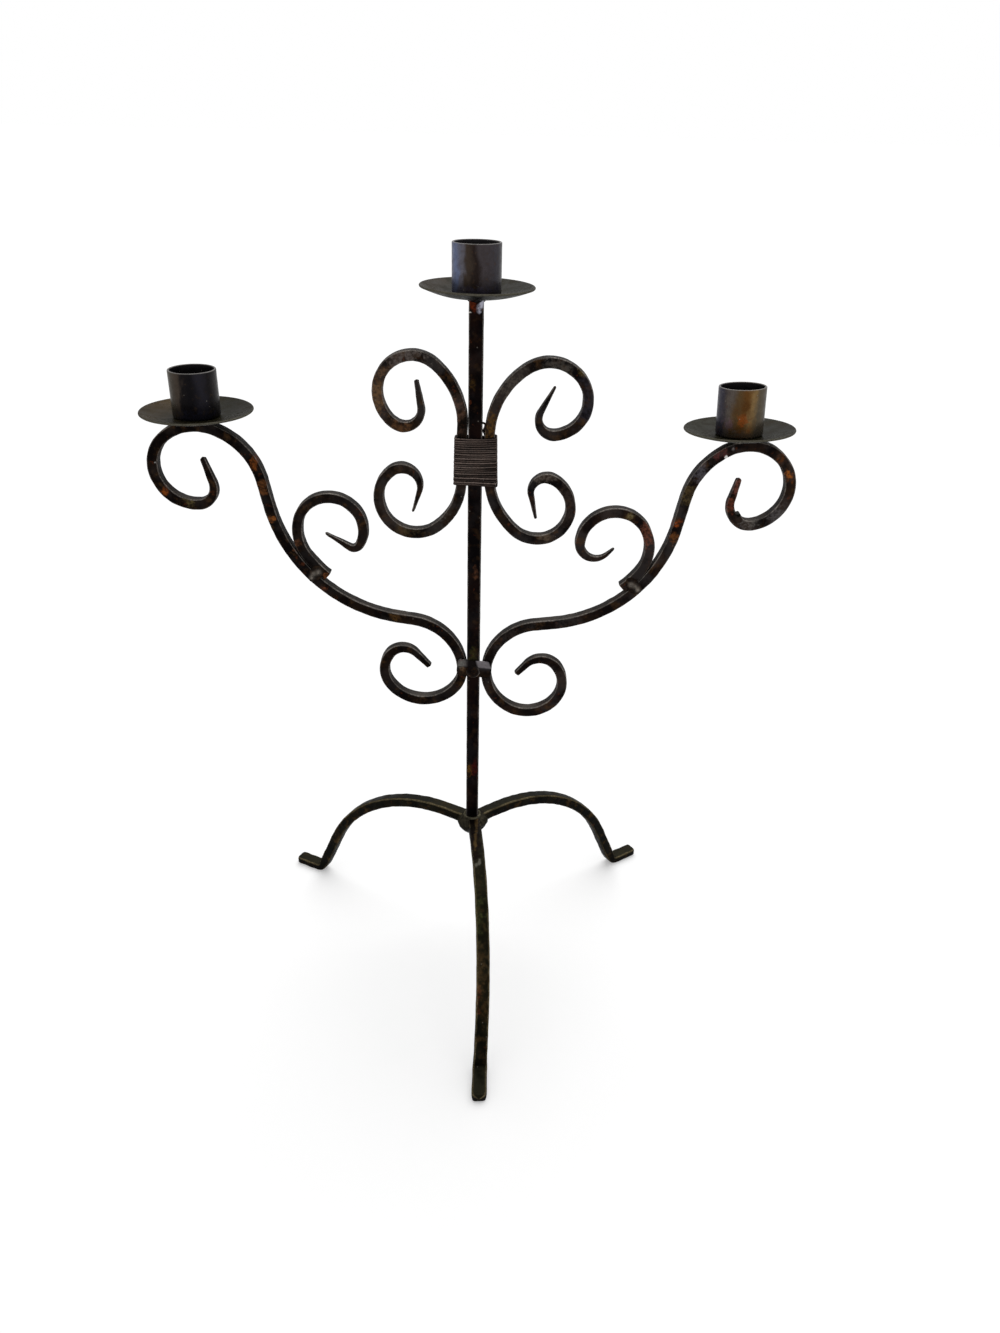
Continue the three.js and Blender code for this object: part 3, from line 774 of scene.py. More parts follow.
@dataclass
class Forging:
    """How a bar is hammered: its section along the line, its ends and its unevenness."""

    wide: Array
    thick: Array
    corner: float = 1.0
    seed: int = 1
    hammer: float = 0.09
    blunt: tuple[float, float] = (1.2, 1.2)

    CORNER_STEPS = 5
    SIDE_STEPS = 3

    def section(self) -> tuple[Array, Array, Array]:
        """The section as weights: where the corner's centre is, where its arc points, and edge wear.

        Going round from the side at +Y, each side has evenly spaced points between two corner arcs.

        Returns:
            Weights of the half size less the corner, weights of the corner's radius, and wear.
        """
        steps = np.linspace(0, np.pi / 2, self.CORNER_STEPS)
        sides = np.linspace(-1, 1, self.SIDE_STEPS + 2)[1:-1]
        centre, arc, wear = [], [], []
        for quarter in range(4):
            turn = quarter * np.pi / 2
            spin = np.array([[np.cos(turn), np.sin(turn)], [-np.sin(turn), np.cos(turn)]])
            side = np.stack([np.ones_like(sides), sides], -1)
            centre.append(np.vstack([side, np.ones((steps.size, 2))]) @ spin)
            flat = np.stack([np.ones_like(sides), np.zeros_like(sides)], -1)
            arc.append(np.vstack([flat, np.stack([np.cos(steps), np.sin(steps)], -1)]) @ spin)
            wear.append(np.append(np.zeros_like(sides), np.sin(2 * steps) ** 0.5))
        return np.vstack(centre), np.vstack(arc), np.concatenate(wear)

    def grid(self, line: Line, aside: Array | float = 0.0) -> tuple[Array, Marks]:
        """The bar's surface: the section carried along the line, with hammering and rounded ends.

        A point is the line's point, plus the section's width along Y, plus its thickness square to
        the heading. Ends are rounded by an ellipse over the blunt length.

        Args:
            line: The centre line.
            aside: How far the line stands out along Y.

        Returns:
            Points, and the marks for the shader.
        """
        centre, arc, wear = self.section()
        at = line.at[:, None]
        total = line.at[-1]
        around = np.arctan2(arc[:, 1], arc[:, 0])[None, :]
        uneven = ripple(self.seed, at, around, 16.0) + 0.5 * ripple(self.seed + 50, at, around, 6.0)
        uneven = self.hammer * uneven
        start = np.clip(line.at / self.blunt[0], 0, 1) if self.blunt[0] else np.ones_like(line.at)
        end = np.clip((total - line.at) / self.blunt[1], 0, 1) if self.blunt[1] else np.ones_like(line.at)
        close = np.sqrt(1 - (1 - np.minimum(start, end)) ** 2).clip(0.25, 1)[:, None]
        w = (self.wide / 2)[:, None] * close + uneven * close
        t = (self.thick / 2)[:, None] * close + uneven * close
        worn = self.corner * (1 + 0.3 * ripple(self.seed + 90, at, around, 12.0))
        radius = np.minimum(worn, 0.9 * np.minimum(w, t))
        y = centre[:, 0] * (w - radius) + arc[:, 0] * radius
        n = centre[:, 1] * (t - radius) + arc[:, 1] * radius
        heading = line.heading[:, None]
        points = np.stack([
            line.out[:, None] - n * np.sin(heading),
            y + np.reshape(aside, (-1, 1)),
            line.up[:, None] + n * np.cos(heading),
        ], -1)
        # Mark for painted light: 'top' is how far a face turns up.
        facing_up = (arc[:, 1] * np.cos(heading)).clip(0, 1) ** 2
        # Painted highlight: the edge wear is weighted towards the edges that face up.
        upper = 0.35 + 0.65 * (0.5 + arc[:, 1] * np.cos(heading)).clip(0, 1)
        return points, {"edge": wear * upper, "top": np.broadcast_to(facing_up, w.shape)}


def turned_about(points: Array, degrees: float) -> Array:
    """Points turned round the post's axis.

    Args:
        points: The points.
        degrees: The angle, counter-clockwise from above.

    Returns:
        The turned points.
    """
    turn = np.radians(degrees)
    spin = np.array([[np.cos(turn), np.sin(turn), 0], [-np.sin(turn), np.cos(turn), 0], [0, 0, 1]])
    return points @ spin


def to_side(points: Array, side: int) -> Array:
    """Points drawn on the right of the post, for side -1 turned to its left."""
    return turned_about(points, 180.0 if side < 0 else 0.0)


def full_turn(count: int) -> Array:
    """Evenly spaced angles of a full turn, as one row."""
    return np.linspace(0, 2 * np.pi, count, endpoint=False)[None, :]


def columns(outline: Array) -> tuple[Array, Array]:
    """The first and second values of an outline's points, each as one column."""
    return outline[:, :1], outline[:, 1:]


def lathed(radius: Array, around: Array, height: Array) -> Array:
    """Points at the given radius, angle and height about an upright axis."""
    return np.stack([radius * np.cos(around), radius * np.sin(around), height], -1)


def drawn_out(line: Line, full: float, tips: tuple[float, float], reach: float) -> Array:
    """Thickness of a bar that is drawn out evenly towards both its ends.

    Args:
        line: Its centre line.
        full: Its full thickness.
        tips: Thickness at its start and at its end; the full thickness leaves an end as it is.
        reach: Length over which it is drawn out.

    Returns:
        The thickness along the line.
    """
    start = tips[0] + (full - tips[0]) * np.clip(line.at / reach, 0, 1)
    end = tips[1] + (full - tips[1]) * np.clip((line.at[-1] - line.at) / reach, 0, 1)
    return np.minimum(start, end)


# ---- Post and legs ----


@dataclass
class Post:
    """The upright square bar."""

    size: float = 2 * POST_HALF
    foot: float = 92.0
    top: float = 454.3

    def build(self, finish: Material) -> None:
        """Builds the bar.

        Args:
            finish: Its material.
        """
        line = Line.bent(0.0, self.foot, np.pi / 2, [Straight(self.top - self.foot)])
        size = np.full_like(line.at, self.size)
        forging = Forging(size, size, corner=0.7, seed=11, hammer=0.05, blunt=(0.6, 0.4))
        points, marks = forging.grid(line)
        add_piece("post_bar", points, marks, finish, "post")


@dataclass(frozen=True)
class LegPlace:
    """Where a leg points, in degrees from +X, how far it bows aside, and how its foot is hammered."""

    direction: float
    bow: float
    seed: int
    shift: float = 0.0
    wide: float = 8.0


@dataclass
class Tripod:
    """Three arched legs with flattened toes, welded round the foot of the post."""

    thick: float = 7.3
    height: float = 100.1
    rise: float = 2.5
    shoulder: Straight = Straight(15.3)
    arch: Bend = Bend(103.5, 68.2)
    ankle: float = 6.0
    toe_length: float = 19.8
    toe_spread: float = 10.0
    toe_thick: float = 5.5
    toe_wide: float = 9.5
    toe_end: float = 6.0
    toe_corner: float = 2.5
    webs: tuple[tuple[float, float], ...] = ((-158.0, 0.1), (-8.0, 1.1), (94.0, 1.5))
    web_height: float = 100.5
    web_rise: float = 4.0
    web_width: float = 0.24
    places: dict[str, LegPlace] = field(default_factory=lambda: {
        "front_leg": LegPlace(-86.2, 3.6, 21, shift=1.1, wide=8.5),
        "right_leg": LegPlace(34.8, 0.0, 22),
        "left_leg": LegPlace(153.4, 0.0, 23),
    })

    def line(self, start: float) -> Line:
        """Centre line of a leg, from the post to the toe's end; the shin ends where the ankle fits.

        Args:
            start: Distance from the post's axis at which it starts.

        Returns:
            The line.
        """
        heading = np.radians(self.rise)
        fall = np.radians(self.arch.sweep) - heading
        crest = Line.bent(start, self.height, heading, [self.shoulder, self.arch])
        drop = crest.up[-1] - self.toe_thick / 2 - self.ankle * (1 - np.cos(fall))
        shin, ankle = Straight(drop / np.sin(fall)), Bend(self.ankle, -np.degrees(fall))
        moves = [self.shoulder, self.arch, shin, ankle, Straight(self.toe_length)]
        return Line.bent(start, self.height, heading, moves, step=0.7)

    def build_leg(self, name: str, place: LegPlace, finish: Material) -> None:
        """Builds one leg.

        Args:
            name: The solid that it stands for.
            place: Where it goes.
            finish: Its material.
        """
        turn = np.radians(place.direction)
        start = (POST_STOCK_HALF + TIGHT) * (abs(np.cos(turn)) + abs(np.sin(turn)))
        line = self.line(start)
        to_end = line.at[-1] - line.at
        flattened = self.toe_length + self.ankle / 2 + self.toe_spread
        flat = np.clip((flattened - to_end) / self.toe_spread, 0, 1)
        flat = flat * flat * (3 - 2 * flat)
        nose = np.sqrt(1 - (1 - np.clip(to_end / (2 * self.toe_corner), 0, 1)) ** 2)
        wide = place.wide + (self.toe_wide - place.wide) * flat
        wide = self.toe_end + (wide - self.toe_end) * nose
        wide = wide + flat * nose * 0.35 * ripple(place.seed + 7, line.at, line.at * 0, 13.0)
        thick = self.thick + (self.toe_thick - self.thick) * flat
        forging = Forging(wide, thick, corner=1.15, seed=place.seed, hammer=0.1, blunt=(0.4, 1.4))
        share = line.at / line.at[-1]
        aside = place.bow * np.sin(np.pi * share) + place.shift * (1 - share)
        points, marks = forging.grid(line, aside)
        points = turned_about(points, place.direction)
        points[..., 2] = np.maximum(points[..., 2], 0.0)
        add_piece(name.replace("leg", "leg_bar"), points, marks, finish, name)

    def build_weld(self, finish: Material) -> None:
        """Builds the weld: an outline turned round the post, thick in the corners between the legs.

        Its radius is the outline's, plus beads that follow each other round, plus slow unevenness,
        and it swells between the legs.

        Args:
            finish: Its material.
        """
        outline = rounded([
            (2.0, 104.8), (4.9, 105.1), (5.9, 104.8), (6.8, 103.6), (9.3, 102.5), (10.5, 99.9),
            (9.9, 96.6), (8.0, 93.4), (6.2, 91.3), (4.0, 90.95), (1.0, 90.95),
        ], 3)
        around = full_turn(96)
        radius, height = columns(outline)
        beads = 0.14 * np.abs(np.sin(around * 11 + 0.7 * (height - 98))) * (radius > 4.5)
        slow = 0.45 * ripple(31, height * 2.0, around, 12.0)
        web = sum(
            bulge * np.exp(-(np.sin((around - np.radians(place)) / 2) / self.web_width) ** 2)
            for place, bulge in self.webs
        )
        slow = slow + web * np.exp(-((height - self.web_height) / self.web_rise) ** 2)
        reach = radius + (beads + slow) * np.clip(radius / 8, 0, 1)
        rise = 0.35 * ripple(32, height, around, 9.0) * (radius > 4.5) * (height > 96)
        points = lathed(reach, around, height + rise)
        # Painted highlight: a narrow ring along the top edge of the weld, with the beads' ripples, is
        # marked proud and shows grey.
        crest = np.exp(-((radius - 5.7) / 0.6) ** 2) * (height > 103)
        proud = np.clip(0.12 + beads + 0.9 * crest, 0, 1)
        add_piece("hub_weld_bead", points, {"edge": proud}, finish, "hub_weld")

    def build(self, leg_finish: Material, weld_finish: Material) -> None:
        """Builds the three legs and their weld."""
        for name, place in self.places.items():
            self.build_leg(name, place, leg_finish)
        self.build_weld(weld_finish)


# ---- Arms and scrolls ----


@dataclass(frozen=True)
class ArmShape:
    """One arm: its bends up from the waist and down from it, and the small scroll on it."""

    side: int
    spread: float
    lift: float
    shoulder: tuple[Move, ...]
    sling: Bend
    crook: tuple[Move, ...]
    curl: tuple[Move, ...]
    branch_start: float
    branch_hug: float
    branch: tuple[Move, ...]
    branch_shift: tuple[float, float] = (0.0, 0.0)
    lump: tuple[float, float, float] | None = None


LEFT_ARM = ArmShape(
    side=-1,
    spread=0.0,
    lift=0.2,
    shoulder=(Bend(36.5, 82), Straight(8.5)),
    sling=Bend(91.5, -71),
    crook=(
        Straight(16), Bend(40.5, 58), Bend(30, 21), Bend(30, 42), Bend(23, 143), Bend(10.5, 102),
        Straight(15.9),
    ),
    curl=(Bend(19, 30), Bend(26.5, 117), Bend(19, 69), Bend(11, 101), Straight(13.5)),
    branch_start=34.0,
    branch_hug=12.0,
    branch=(Bend(27.5, -53), Bend(20, -194), Bend(4.5, -90), Straight(17)),
)
RIGHT_ARM = ArmShape(
    side=1,
    spread=1.0,
    lift=-0.5,
    shoulder=(Bend(35, 83), Straight(12)),
    sling=Bend(83.5, -72),
    crook=(
        Straight(19.3), Bend(42.5, 51), Bend(27, 28), Bend(27, 53), Bend(24, 114), Bend(12.5, 116),
        Straight(14),
    ),
    curl=(Bend(30.5, 60), Bend(23.5, 83), Bend(21, 75), Bend(12.5, 100), Straight(10.5)),
    branch_start=35.0,
    branch_hug=10.0,
    branch=(Bend(26.5, -72), Bend(21, -144), Bend(10, -137), Straight(6)),
    branch_shift=(0.6, -0.3),
    lump=(159.5, 331.0, 2.6),
)


@dataclass
class Arm:
    """An arm with the small scroll that is welded into its hollow."""

    name: str
    shape: ArmShape
    size: float = 6.5
    waist: float = ARM_WAIST
    tips: tuple[float, float] = (3.6, 3.2)
    reach: float = 34.0
    branch_size: float = 6.3
    branch_tip: float = 1.6
    branch_reach: float = 30.0
    branch_ease: float = 40.0
    lump_spread: float = 1.35
    bead: tuple[float, float, float] = (8.5, 12.4, 1.5)
    lumps: tuple[tuple[float, float, float], ...] = (
        (0.6, -3.6, 0.6), (1.0, -0.6, 0.35), (-0.4, 2.4, 0.5),
    )
    bead_back: float = 7.0
    seed: int = 41

    @property
    def out(self) -> float:
        """Distance of the bar's middle from the post's axis at the waist."""
        gap = CLEARANCE if self.shape.spread else TOUCHING
        return POST_STOCK_HALF + gap + self.shape.spread + ARM_STOCK_HALF

    def line(self) -> Line:
        """Centre line from the tip of the bottom curl to the tip of the top scroll.

        Returns:
            The line.
        """
        up = self.waist + self.shape.lift
        rise_moves = [*self.shape.shoulder, self.shape.sling, *self.shape.crook]
        rise = Line.bent(self.out, up, np.pi / 2, rise_moves)
        curl = Line.bent(self.out, up, -np.pi / 2, self.shape.curl, -1)
        return curl.reversed().joined(rise)

    def branch_line(self) -> Line:
        """Centre line of the small scroll: it follows the arm's hollow, then curls in.

        Returns:
            The line.
        """
        up = self.waist + self.shape.lift
        radius = self.shape.sling.radius
        to_foot = [*self.shape.shoulder, Bend(radius, -self.shape.branch_start)]
        foot = Line.bent(self.out, up, np.pi / 2, to_foot)
        offset = (self.size + self.branch_size) / 2 + CLEARANCE
        heading = foot.heading[-1]
        out = foot.out[-1] - offset * np.sin(heading)
        up = foot.up[-1] + offset * np.cos(heading)
        moves = [Bend(radius - offset, -self.shape.branch_hug), *self.shape.branch]
        line = Line.bent(out, up, heading, moves, step=0.6)
        ease = np.clip(line.at / self.branch_ease, 0, 1)
        shift = self.shape.branch_shift
        return Line(line.out + shift[0] * ease, line.up + shift[1] * ease, line.heading, line.at)

    def build(self, bar: Material, weld: Material) -> None:
        """Builds the arm, its small scroll and the weld bead between them.

        Args:
            bar: Finish of both bars.
            weld: Finish of the bead.
        """
        line = self.line()
        size = drawn_out(line, self.size, self.tips, self.reach)
        points, marks = Forging(size, size, corner=0.7, seed=self.seed, blunt=(1.0, 1.0)).grid(line)
        if self.shape.lump:
            points = self.with_lump(points, *self.shape.lump)
        points = to_side(points, self.shape.side)
        add_piece(f"{self.name}_bar", points, marks, bar, self.name)
        line = self.branch_line()
        size = drawn_out(line, self.branch_size, (self.branch_size, self.branch_tip), self.branch_reach)
        forging = Forging(size, size, corner=0.7, seed=self.seed + 3, hammer=0.1, blunt=(0.7, 1.0))
        points, marks = forging.grid(line)
        points = to_side(points, self.shape.side)
        add_piece(f"{self.name}_small_scroll", points, marks, bar, f"{self.name}_scroll")
        self.build_bead(weld)

    def with_lump(self, points: Array, out: float, up: float, height: float) -> Array:
        """Raises a lump on the bar: points near a place go up, and less so the farther off they are.

        Args:
            points: The bar's points.
            out: Distance of the lump from the post's axis.
            up: Height of its foot.
            height: How far it stands up.

        Returns:
            The points with the lump.
        """
        away = (points[..., 0] - out) ** 2 + (points[..., 2] - up) ** 2
        raised = points.copy()
        raised[..., 2] += height * np.exp(-away / (2 * self.lump_spread ** 2))
        return raised

    def build_bead(self, finish: Material) -> None:
        """Builds the weld bead that lies across the front of both bars near the cut end.

        It is a low mound with an oval outline; its height is the root of one less the square of the
        distance from its middle, plus a few rounded lumps where the rod was dipped.

        Args:
            finish: Its material.
        """
        cut = self.branch_line()
        along = cut.heading[0]
        seam = (self.branch_size + CLEARANCE) / 2
        out = cut.out[0] + self.bead_back * np.cos(along) + seam * np.sin(along)
        up = cut.up[0] + self.bead_back * np.sin(along) - seam * np.cos(along)
        around = full_turn(64)
        inner = np.linspace(0.04, 0.94, 16)
        share = np.concatenate([inner, [0.985, 1.0, 0.9, 0.3]])[:, None]
        lift = np.concatenate([(1 - inner ** 2) ** 0.5, [0.15, 0.0, -0.15, -0.15]])[:, None]
        length, width, height = self.bead
        ragged = 1 + 0.12 * ripple(self.seed + 5, share * 4, around, 9.0)
        u = share * ragged * length / 2 * np.cos(around)
        v = share * ragged * width / 2 * np.sin(around)
        lumps = sum(
            size * np.exp(-((u - at_u) ** 2 + (v - at_v) ** 2) / 2.2)
            for at_u, at_v, size in self.lumps
        )
        proud = height * lift * (0.55 + lumps) * (1 + 0.15 * ripple(self.seed + 6, u + 20, v, 3.0))
        side = self.shape.side
        x = side * (out + u * np.cos(along) - v * np.sin(along))
        z = up + u * np.sin(along) + v * np.cos(along)
        points = np.stack([x, -(self.size / 2 - TIGHT) - proud, z], -1)
        # Painted highlight on the weld's lumps: where they stand up, the bead shows grey.
        marks = {"edge": np.clip(1.3 * lumps * lift.clip(0, 1), 0, 1)}
        add_piece(f"{self.name}_bead", points, marks, finish, f"{self.name}_weld")


@dataclass
class CScroll:
    """A C-scroll that is bound to the post at its waist."""

    name: str
    side: int
    spread: float
    upper: tuple[Move, ...]
    lower: tuple[Move, ...]
    size: float = 6.2
    waist: float = SCROLL_WAIST
    tips: tuple[float, float] = (1.5, 1.5)
    reach: float = 34.0
    settle: float = 0.0
    settle_from: float = 14.0
    settle_over: float = 16.0
    seed: int = 61

    def build(self, finish: Material) -> None:
        """Builds the scroll.

        Args:
            finish: Its material.
        """
        out = POST_HALF + TOUCHING + self.spread + self.size / 2
        upper = Line.bent(out, self.waist, np.pi / 2, self.upper, step=0.6)
        lower = Line.bent(out, self.waist, -np.pi / 2, self.lower, -1, step=0.6)
        line = lower.reversed().joined(upper)
        far = (np.abs(line.up - self.waist) - self.settle_from) / self.settle_over
        line.out = line.out - self.settle * np.clip(far, 0, 1)
        size = drawn_out(line, self.size, self.tips, self.reach)
        points, marks = Forging(size, size, corner=0.65, seed=self.seed, blunt=(0.6, 0.6)).grid(line)
        add_piece(f"{self.name}_bar", to_side(points, self.side), marks, finish, self.name)


# ---- Binding, strap and rivet ----


@dataclass
class Binding:
    """One wire wound round the post and both C-scrolls, with its ends tucked beside the post."""

    wire: float = 1.28
    turns: int = 22
    pitch: float = 1.29
    middle: float = SCROLL_WAIST
    bar: float = 6.2
    post: float = 2 * POST_HALF
    gaps: tuple[float, float] = (0.56, 1.18)
    tail_rise: float = 9.2
    slack: float = 0.12
    loop_points: int = 96

    def lap(self) -> Array:
        """One turn seen from above: straight between the bars' corners, round over each corner.

        Each corner is an arc about the bar's own corner, at the wire's radius and a little slack.

        Returns:
            Points counter-clockwise from the back right, evenly spaced.
        """
        left = -(self.post / 2 + self.gaps[0] + self.bar)
        right = self.post / 2 + self.gaps[1] + self.bar
        half, post = self.bar / 2, self.post / 2
        hull = np.array([
            [post, post], [-post, post], [left, half], [left, -half],
            [-post, -post], [post, -post], [right, -half], [right, half],
        ])
        before = hull - np.roll(hull, 1, 0)
        after = np.roll(hull, -1, 0) - hull
        start = np.arctan2(before[:, 1], before[:, 0]) - np.pi / 2
        turn = np.arctan2(after[:, 1], after[:, 0]) - np.pi / 2 - start
        turn = np.arctan2(np.sin(turn), np.cos(turn))
        angles = start[:, None] + turn[:, None] * np.linspace(0, 1, 9)
        distance = self.wire / 2 + self.slack
        arcs = hull[:, None, :] + distance * np.stack([np.cos(angles), np.sin(angles)], -1)
        loop = arcs.reshape(-1, 2)
        loop = np.vstack([loop, loop[:1]])
        run = np.append(0, np.cumsum(np.linalg.norm(np.diff(loop, axis=0), axis=1)))
        even = np.linspace(0, run[-1], self.loop_points + 1)[:-1]
        return np.stack([np.interp(even, run, loop[:, 0]), np.interp(even, run, loop[:, 1])], -1)

    def centre_line(self) -> Array:
        """The wire's line: the lower end in the gap, the turns, and the upper end up the gap.

        Height grows evenly with the turns, plus unevenness that changes slowly from turn to turn;
        the last turns at the bottom right lie slanted.

        Returns:
            Points along the wire.
        """
        lap = self.lap()
        count = len(lap)
        steps = np.arange(self.turns * count)
        flat = lap[steps % count]
        share = steps / count
        height = self.middle - self.pitch * self.turns / 2 + self.pitch * share
        around = 2 * np.pi * share
        height = height + 0.2 * ripple(71, share * 10, around, 26.0)
        height = height + 0.07 * ripple(74, share * 10, around, 9.0)
        slant = np.clip(1 - share / 9, 0, 1) * np.clip(flat[:, 0] / 12, 0, 1)
        height = height - 1.3 * slant * np.clip((2 - flat[:, 1]) / 4, 0, 1)
        loose = 1 + 0.01 * ripple(72, share * 10, around, 23.0) + 0.05 * (1 - share / self.turns)
        turns = np.column_stack([flat[:, 0] * loose, flat[:, 1] * (0.4 + 0.6 * loose), height])
        gap = self.post / 2 + self.gaps[1] / 2
        low, high = turns[0], turns[-1]
        entry = rounded([
            (gap, -1.0, low[2] + 0.1), (gap, 2.6, low[2] + 0.05), (gap, 4.5, low[2]), low,
        ], 3)
        top = high[2] + self.tail_rise
        tail = rounded([
            high, (gap + 1.0, self.post / 2 + 0.9, high[2] + 0.4),
            (gap + 0.1, self.post / 2, high[2] + 1.2), (gap, 0.0, high[2] + 3.6),
            (gap + 0.1, -3.6, high[2] + 5.0), (gap + 0.8, -4.4, high[2] + 6.4),
            (gap + 1.3, -4.9, top - 1.2), (gap + 0.8, -5.0, top), (gap - 1.2, -4.9, top + 0.3),
        ], 3)
        return np.vstack([entry[:-1], turns, tail[1:]])

    def build(self, finish: Material, sides: int = 10) -> None:
        """Builds the wire: a circle carried along its line, flat on the ends.

        Args:
            finish: Its material.
            sides: Points round the wire.
        """
        line = self.centre_line()
        along = np.gradient(line, axis=0)
        along /= np.linalg.norm(along, axis=1, keepdims=True)
        across = np.cross(np.array([0.0, 0.0, 1.0]), along)
        across /= np.linalg.norm(across, axis=1, keepdims=True)
        over = np.cross(along, across)
        angle = full_turn(sides)[0]
        steps, level = np.arange(len(line)), np.zeros(len(line))
        radius = self.wire / 2 * (1 + 0.05 * ripple(73, steps * 0.7, level, 9.0))
        circle = np.cos(angle)[:, None] * across[:, None] + np.sin(angle)[:, None] * over[:, None]
        points = line[:, None] + radius[:, None, None] * circle
        # Painted light on the wire: a highlight on the upper front of each turn, brighter on some turns
        # than on others; the rest stays the black of painted shade in the grooves.
        turn_light = 0.55 + 0.8 * ripple(75, steps / 9.6, level, 13.0)
        lit_crown = np.clip(0.75 * np.sin(angle) - 0.65 * np.cos(angle), 0, 1)[None, :] ** 2
        lit_crown = lit_crown * turn_light.clip(0.05, 1)[:, None]
        add_piece("binding_wire", points, {"edge": lit_crown}, finish, "wire_binding")


@dataclass
class Collar:
    """The hammered strap across the front of the arms' waist, with its rivet."""

    left: float = -10.7
    right: float = 11.9
    waist: float = ARM_WAIST
    drop: float = 1.4
    height: float = 10.6
    bevel: float = 3.2
    thick: float = 4.0
    back: float = 3.45
    tilt: float = 4.5
    rivet_lift: float = 3.0
    rivet_radius: float = 4.6
    rivet_height: float = 2.4
    tail_radius: float = 3.4
    tail_height: float = 1.4
    beaten_from: float = -3.5
    beaten_fade: float = 2.5
    dent_size: float = 4.6

    def build_strap(self, finish: Material) -> None:
        """Builds the strap: a bevelled outline carried from side to side, dented and rounded off.

        The outline grows and shrinks about its middle with slow dents, and with lumps on the left,
        where the strap was hammered out of shape.

        Args:
            finish: Its material.
        """
        low = -self.rivet_lift - self.drop
        outline = rounded([
            (self.back, low), (self.back + self.thick * 0.9, low), (self.back + self.thick, low + 0.6),
            (self.back + self.thick, low + self.height - self.bevel - 0.35),
            (self.back + self.thick - 0.4, low + self.height - self.bevel + 0.2),
            (self.back + 1.0, low + self.height - 0.25), (self.back + 0.3, low + self.height),
            (self.back, low + self.height - 0.4),
        ], 2, True)
        middle = outline.mean(0)
        tangent = np.roll(outline, -1, 0) - np.roll(outline, 1, 0)
        lit = (-tangent[:, 0] / np.linalg.norm(tangent, axis=1)).clip(0, 1)
        half = (self.right - self.left) / 2
        x = (self.left + self.right) / 2 + half * np.sin(np.linspace(-1, 1, 81) * np.pi / 2)
        close = (1 - np.abs((x - x.mean()) / half) ** 16).clip(0.15, 1) ** 0.4
        around = np.arctan2(*(outline - middle).T[::-1])[None, :]
        dents = 0.12 * ripple(81, x[:, None], around, 9.0)
        beaten = np.clip((self.beaten_from - x) / self.beaten_fade, 0, 1)[:, None]
        blob = beaten * (0.75 * ripple(82, x[:, None] * 1.5, around, 6.0) + 0.25)
        scale = close[:, None] * (1 + (dents + blob) / self.dent_size)
        y = middle[0] + (outline[:, 0] - middle[0]) * scale
        z = middle[1] + (outline[:, 1] - middle[1]) * scale
        turn = np.radians(self.tilt)
        points = np.stack([
            x[:, None] * np.cos(turn) + z * np.sin(turn),
            -np.maximum(y, self.back),
            self.waist + self.rivet_lift - x[:, None] * np.sin(turn) + z * np.cos(turn),
        ], -1)
        # Painted highlight on the lit faces of the strap: strong on the crisp top facet at the right,
        # weaker on the beaten lumps at the left.
        lit_facet = np.clip((x[:, None] - 2.2 + 0.5 * (z - 3.0)) / 1.2, 0, 1)
        lit_facet = lit_facet * np.clip((self.right - x[:, None] - 0.7 * (z - 3.0)) / 0.6, 0, 1)
        top = lit * (0.28 * beaten + lit_facet)
        marks = {"edge": 0.5 * lit * beaten, "top": top}
        add_piece("collar_strap_bar", points, marks, finish, "collar_strap")

    def build_rivet(self, finish: Material) -> None:
        """Builds the rivet: a domed head in front, its shank, and a flat hammered tail behind.

        Args:
            finish: Its material.
        """
        seat = self.back + self.thick + 0.05
        head, tall = self.rivet_radius, self.rivet_height
        tail = -(POST_STOCK_HALF + TIGHT)
        outline = rounded([
            (0.2, tail - self.tail_height), (self.tail_radius * 0.7, tail - self.tail_height * 0.9),
            (self.tail_radius, tail - 0.3), (self.tail_radius * 0.96, tail), (2.0, tail), (2.0, seat),
            (head * 0.97, seat), (head, seat + 0.3), (head * 0.9, seat + tall * 0.52),
            (head * 0.55, seat + tall * 0.88), (0.2, seat + tall),
        ], 2)
        around = full_turn(48)
        out, y = columns(outline)
        reach = out * (1 + 0.03 * ripple(85, y * 2, around, 8.0))
        points = np.stack([
            reach * np.cos(around),
            -(y + 0.1 * ripple(86, out * 2, around, 6.0) * (out < head * 0.9)),
            self.waist + self.rivet_lift + reach * np.sin(around),
        ], -1)
        # Painted highlight: a crescent along the rim of the head, lit on the right and the lower left.
        rim = np.exp(-((out - head * 0.93) / 0.4) ** 2) * (y > 0) * np.ones_like(around)
        crescent = np.clip(np.cos(around + 0.5), 0, 1) + 0.5 * np.clip(np.cos(around + 2.2), 0, 1)
        marks = {"edge": 0.8 * rim * crescent, "top": 0 * rim}
        add_piece("collar_rivet_dome", points, marks, finish, "collar_rivet")

    def build(self, finish: Material) -> None:
        """Builds strap and rivet."""
        self.build_strap(finish)
        self.build_rivet(finish)


# ---- Candle seats ----


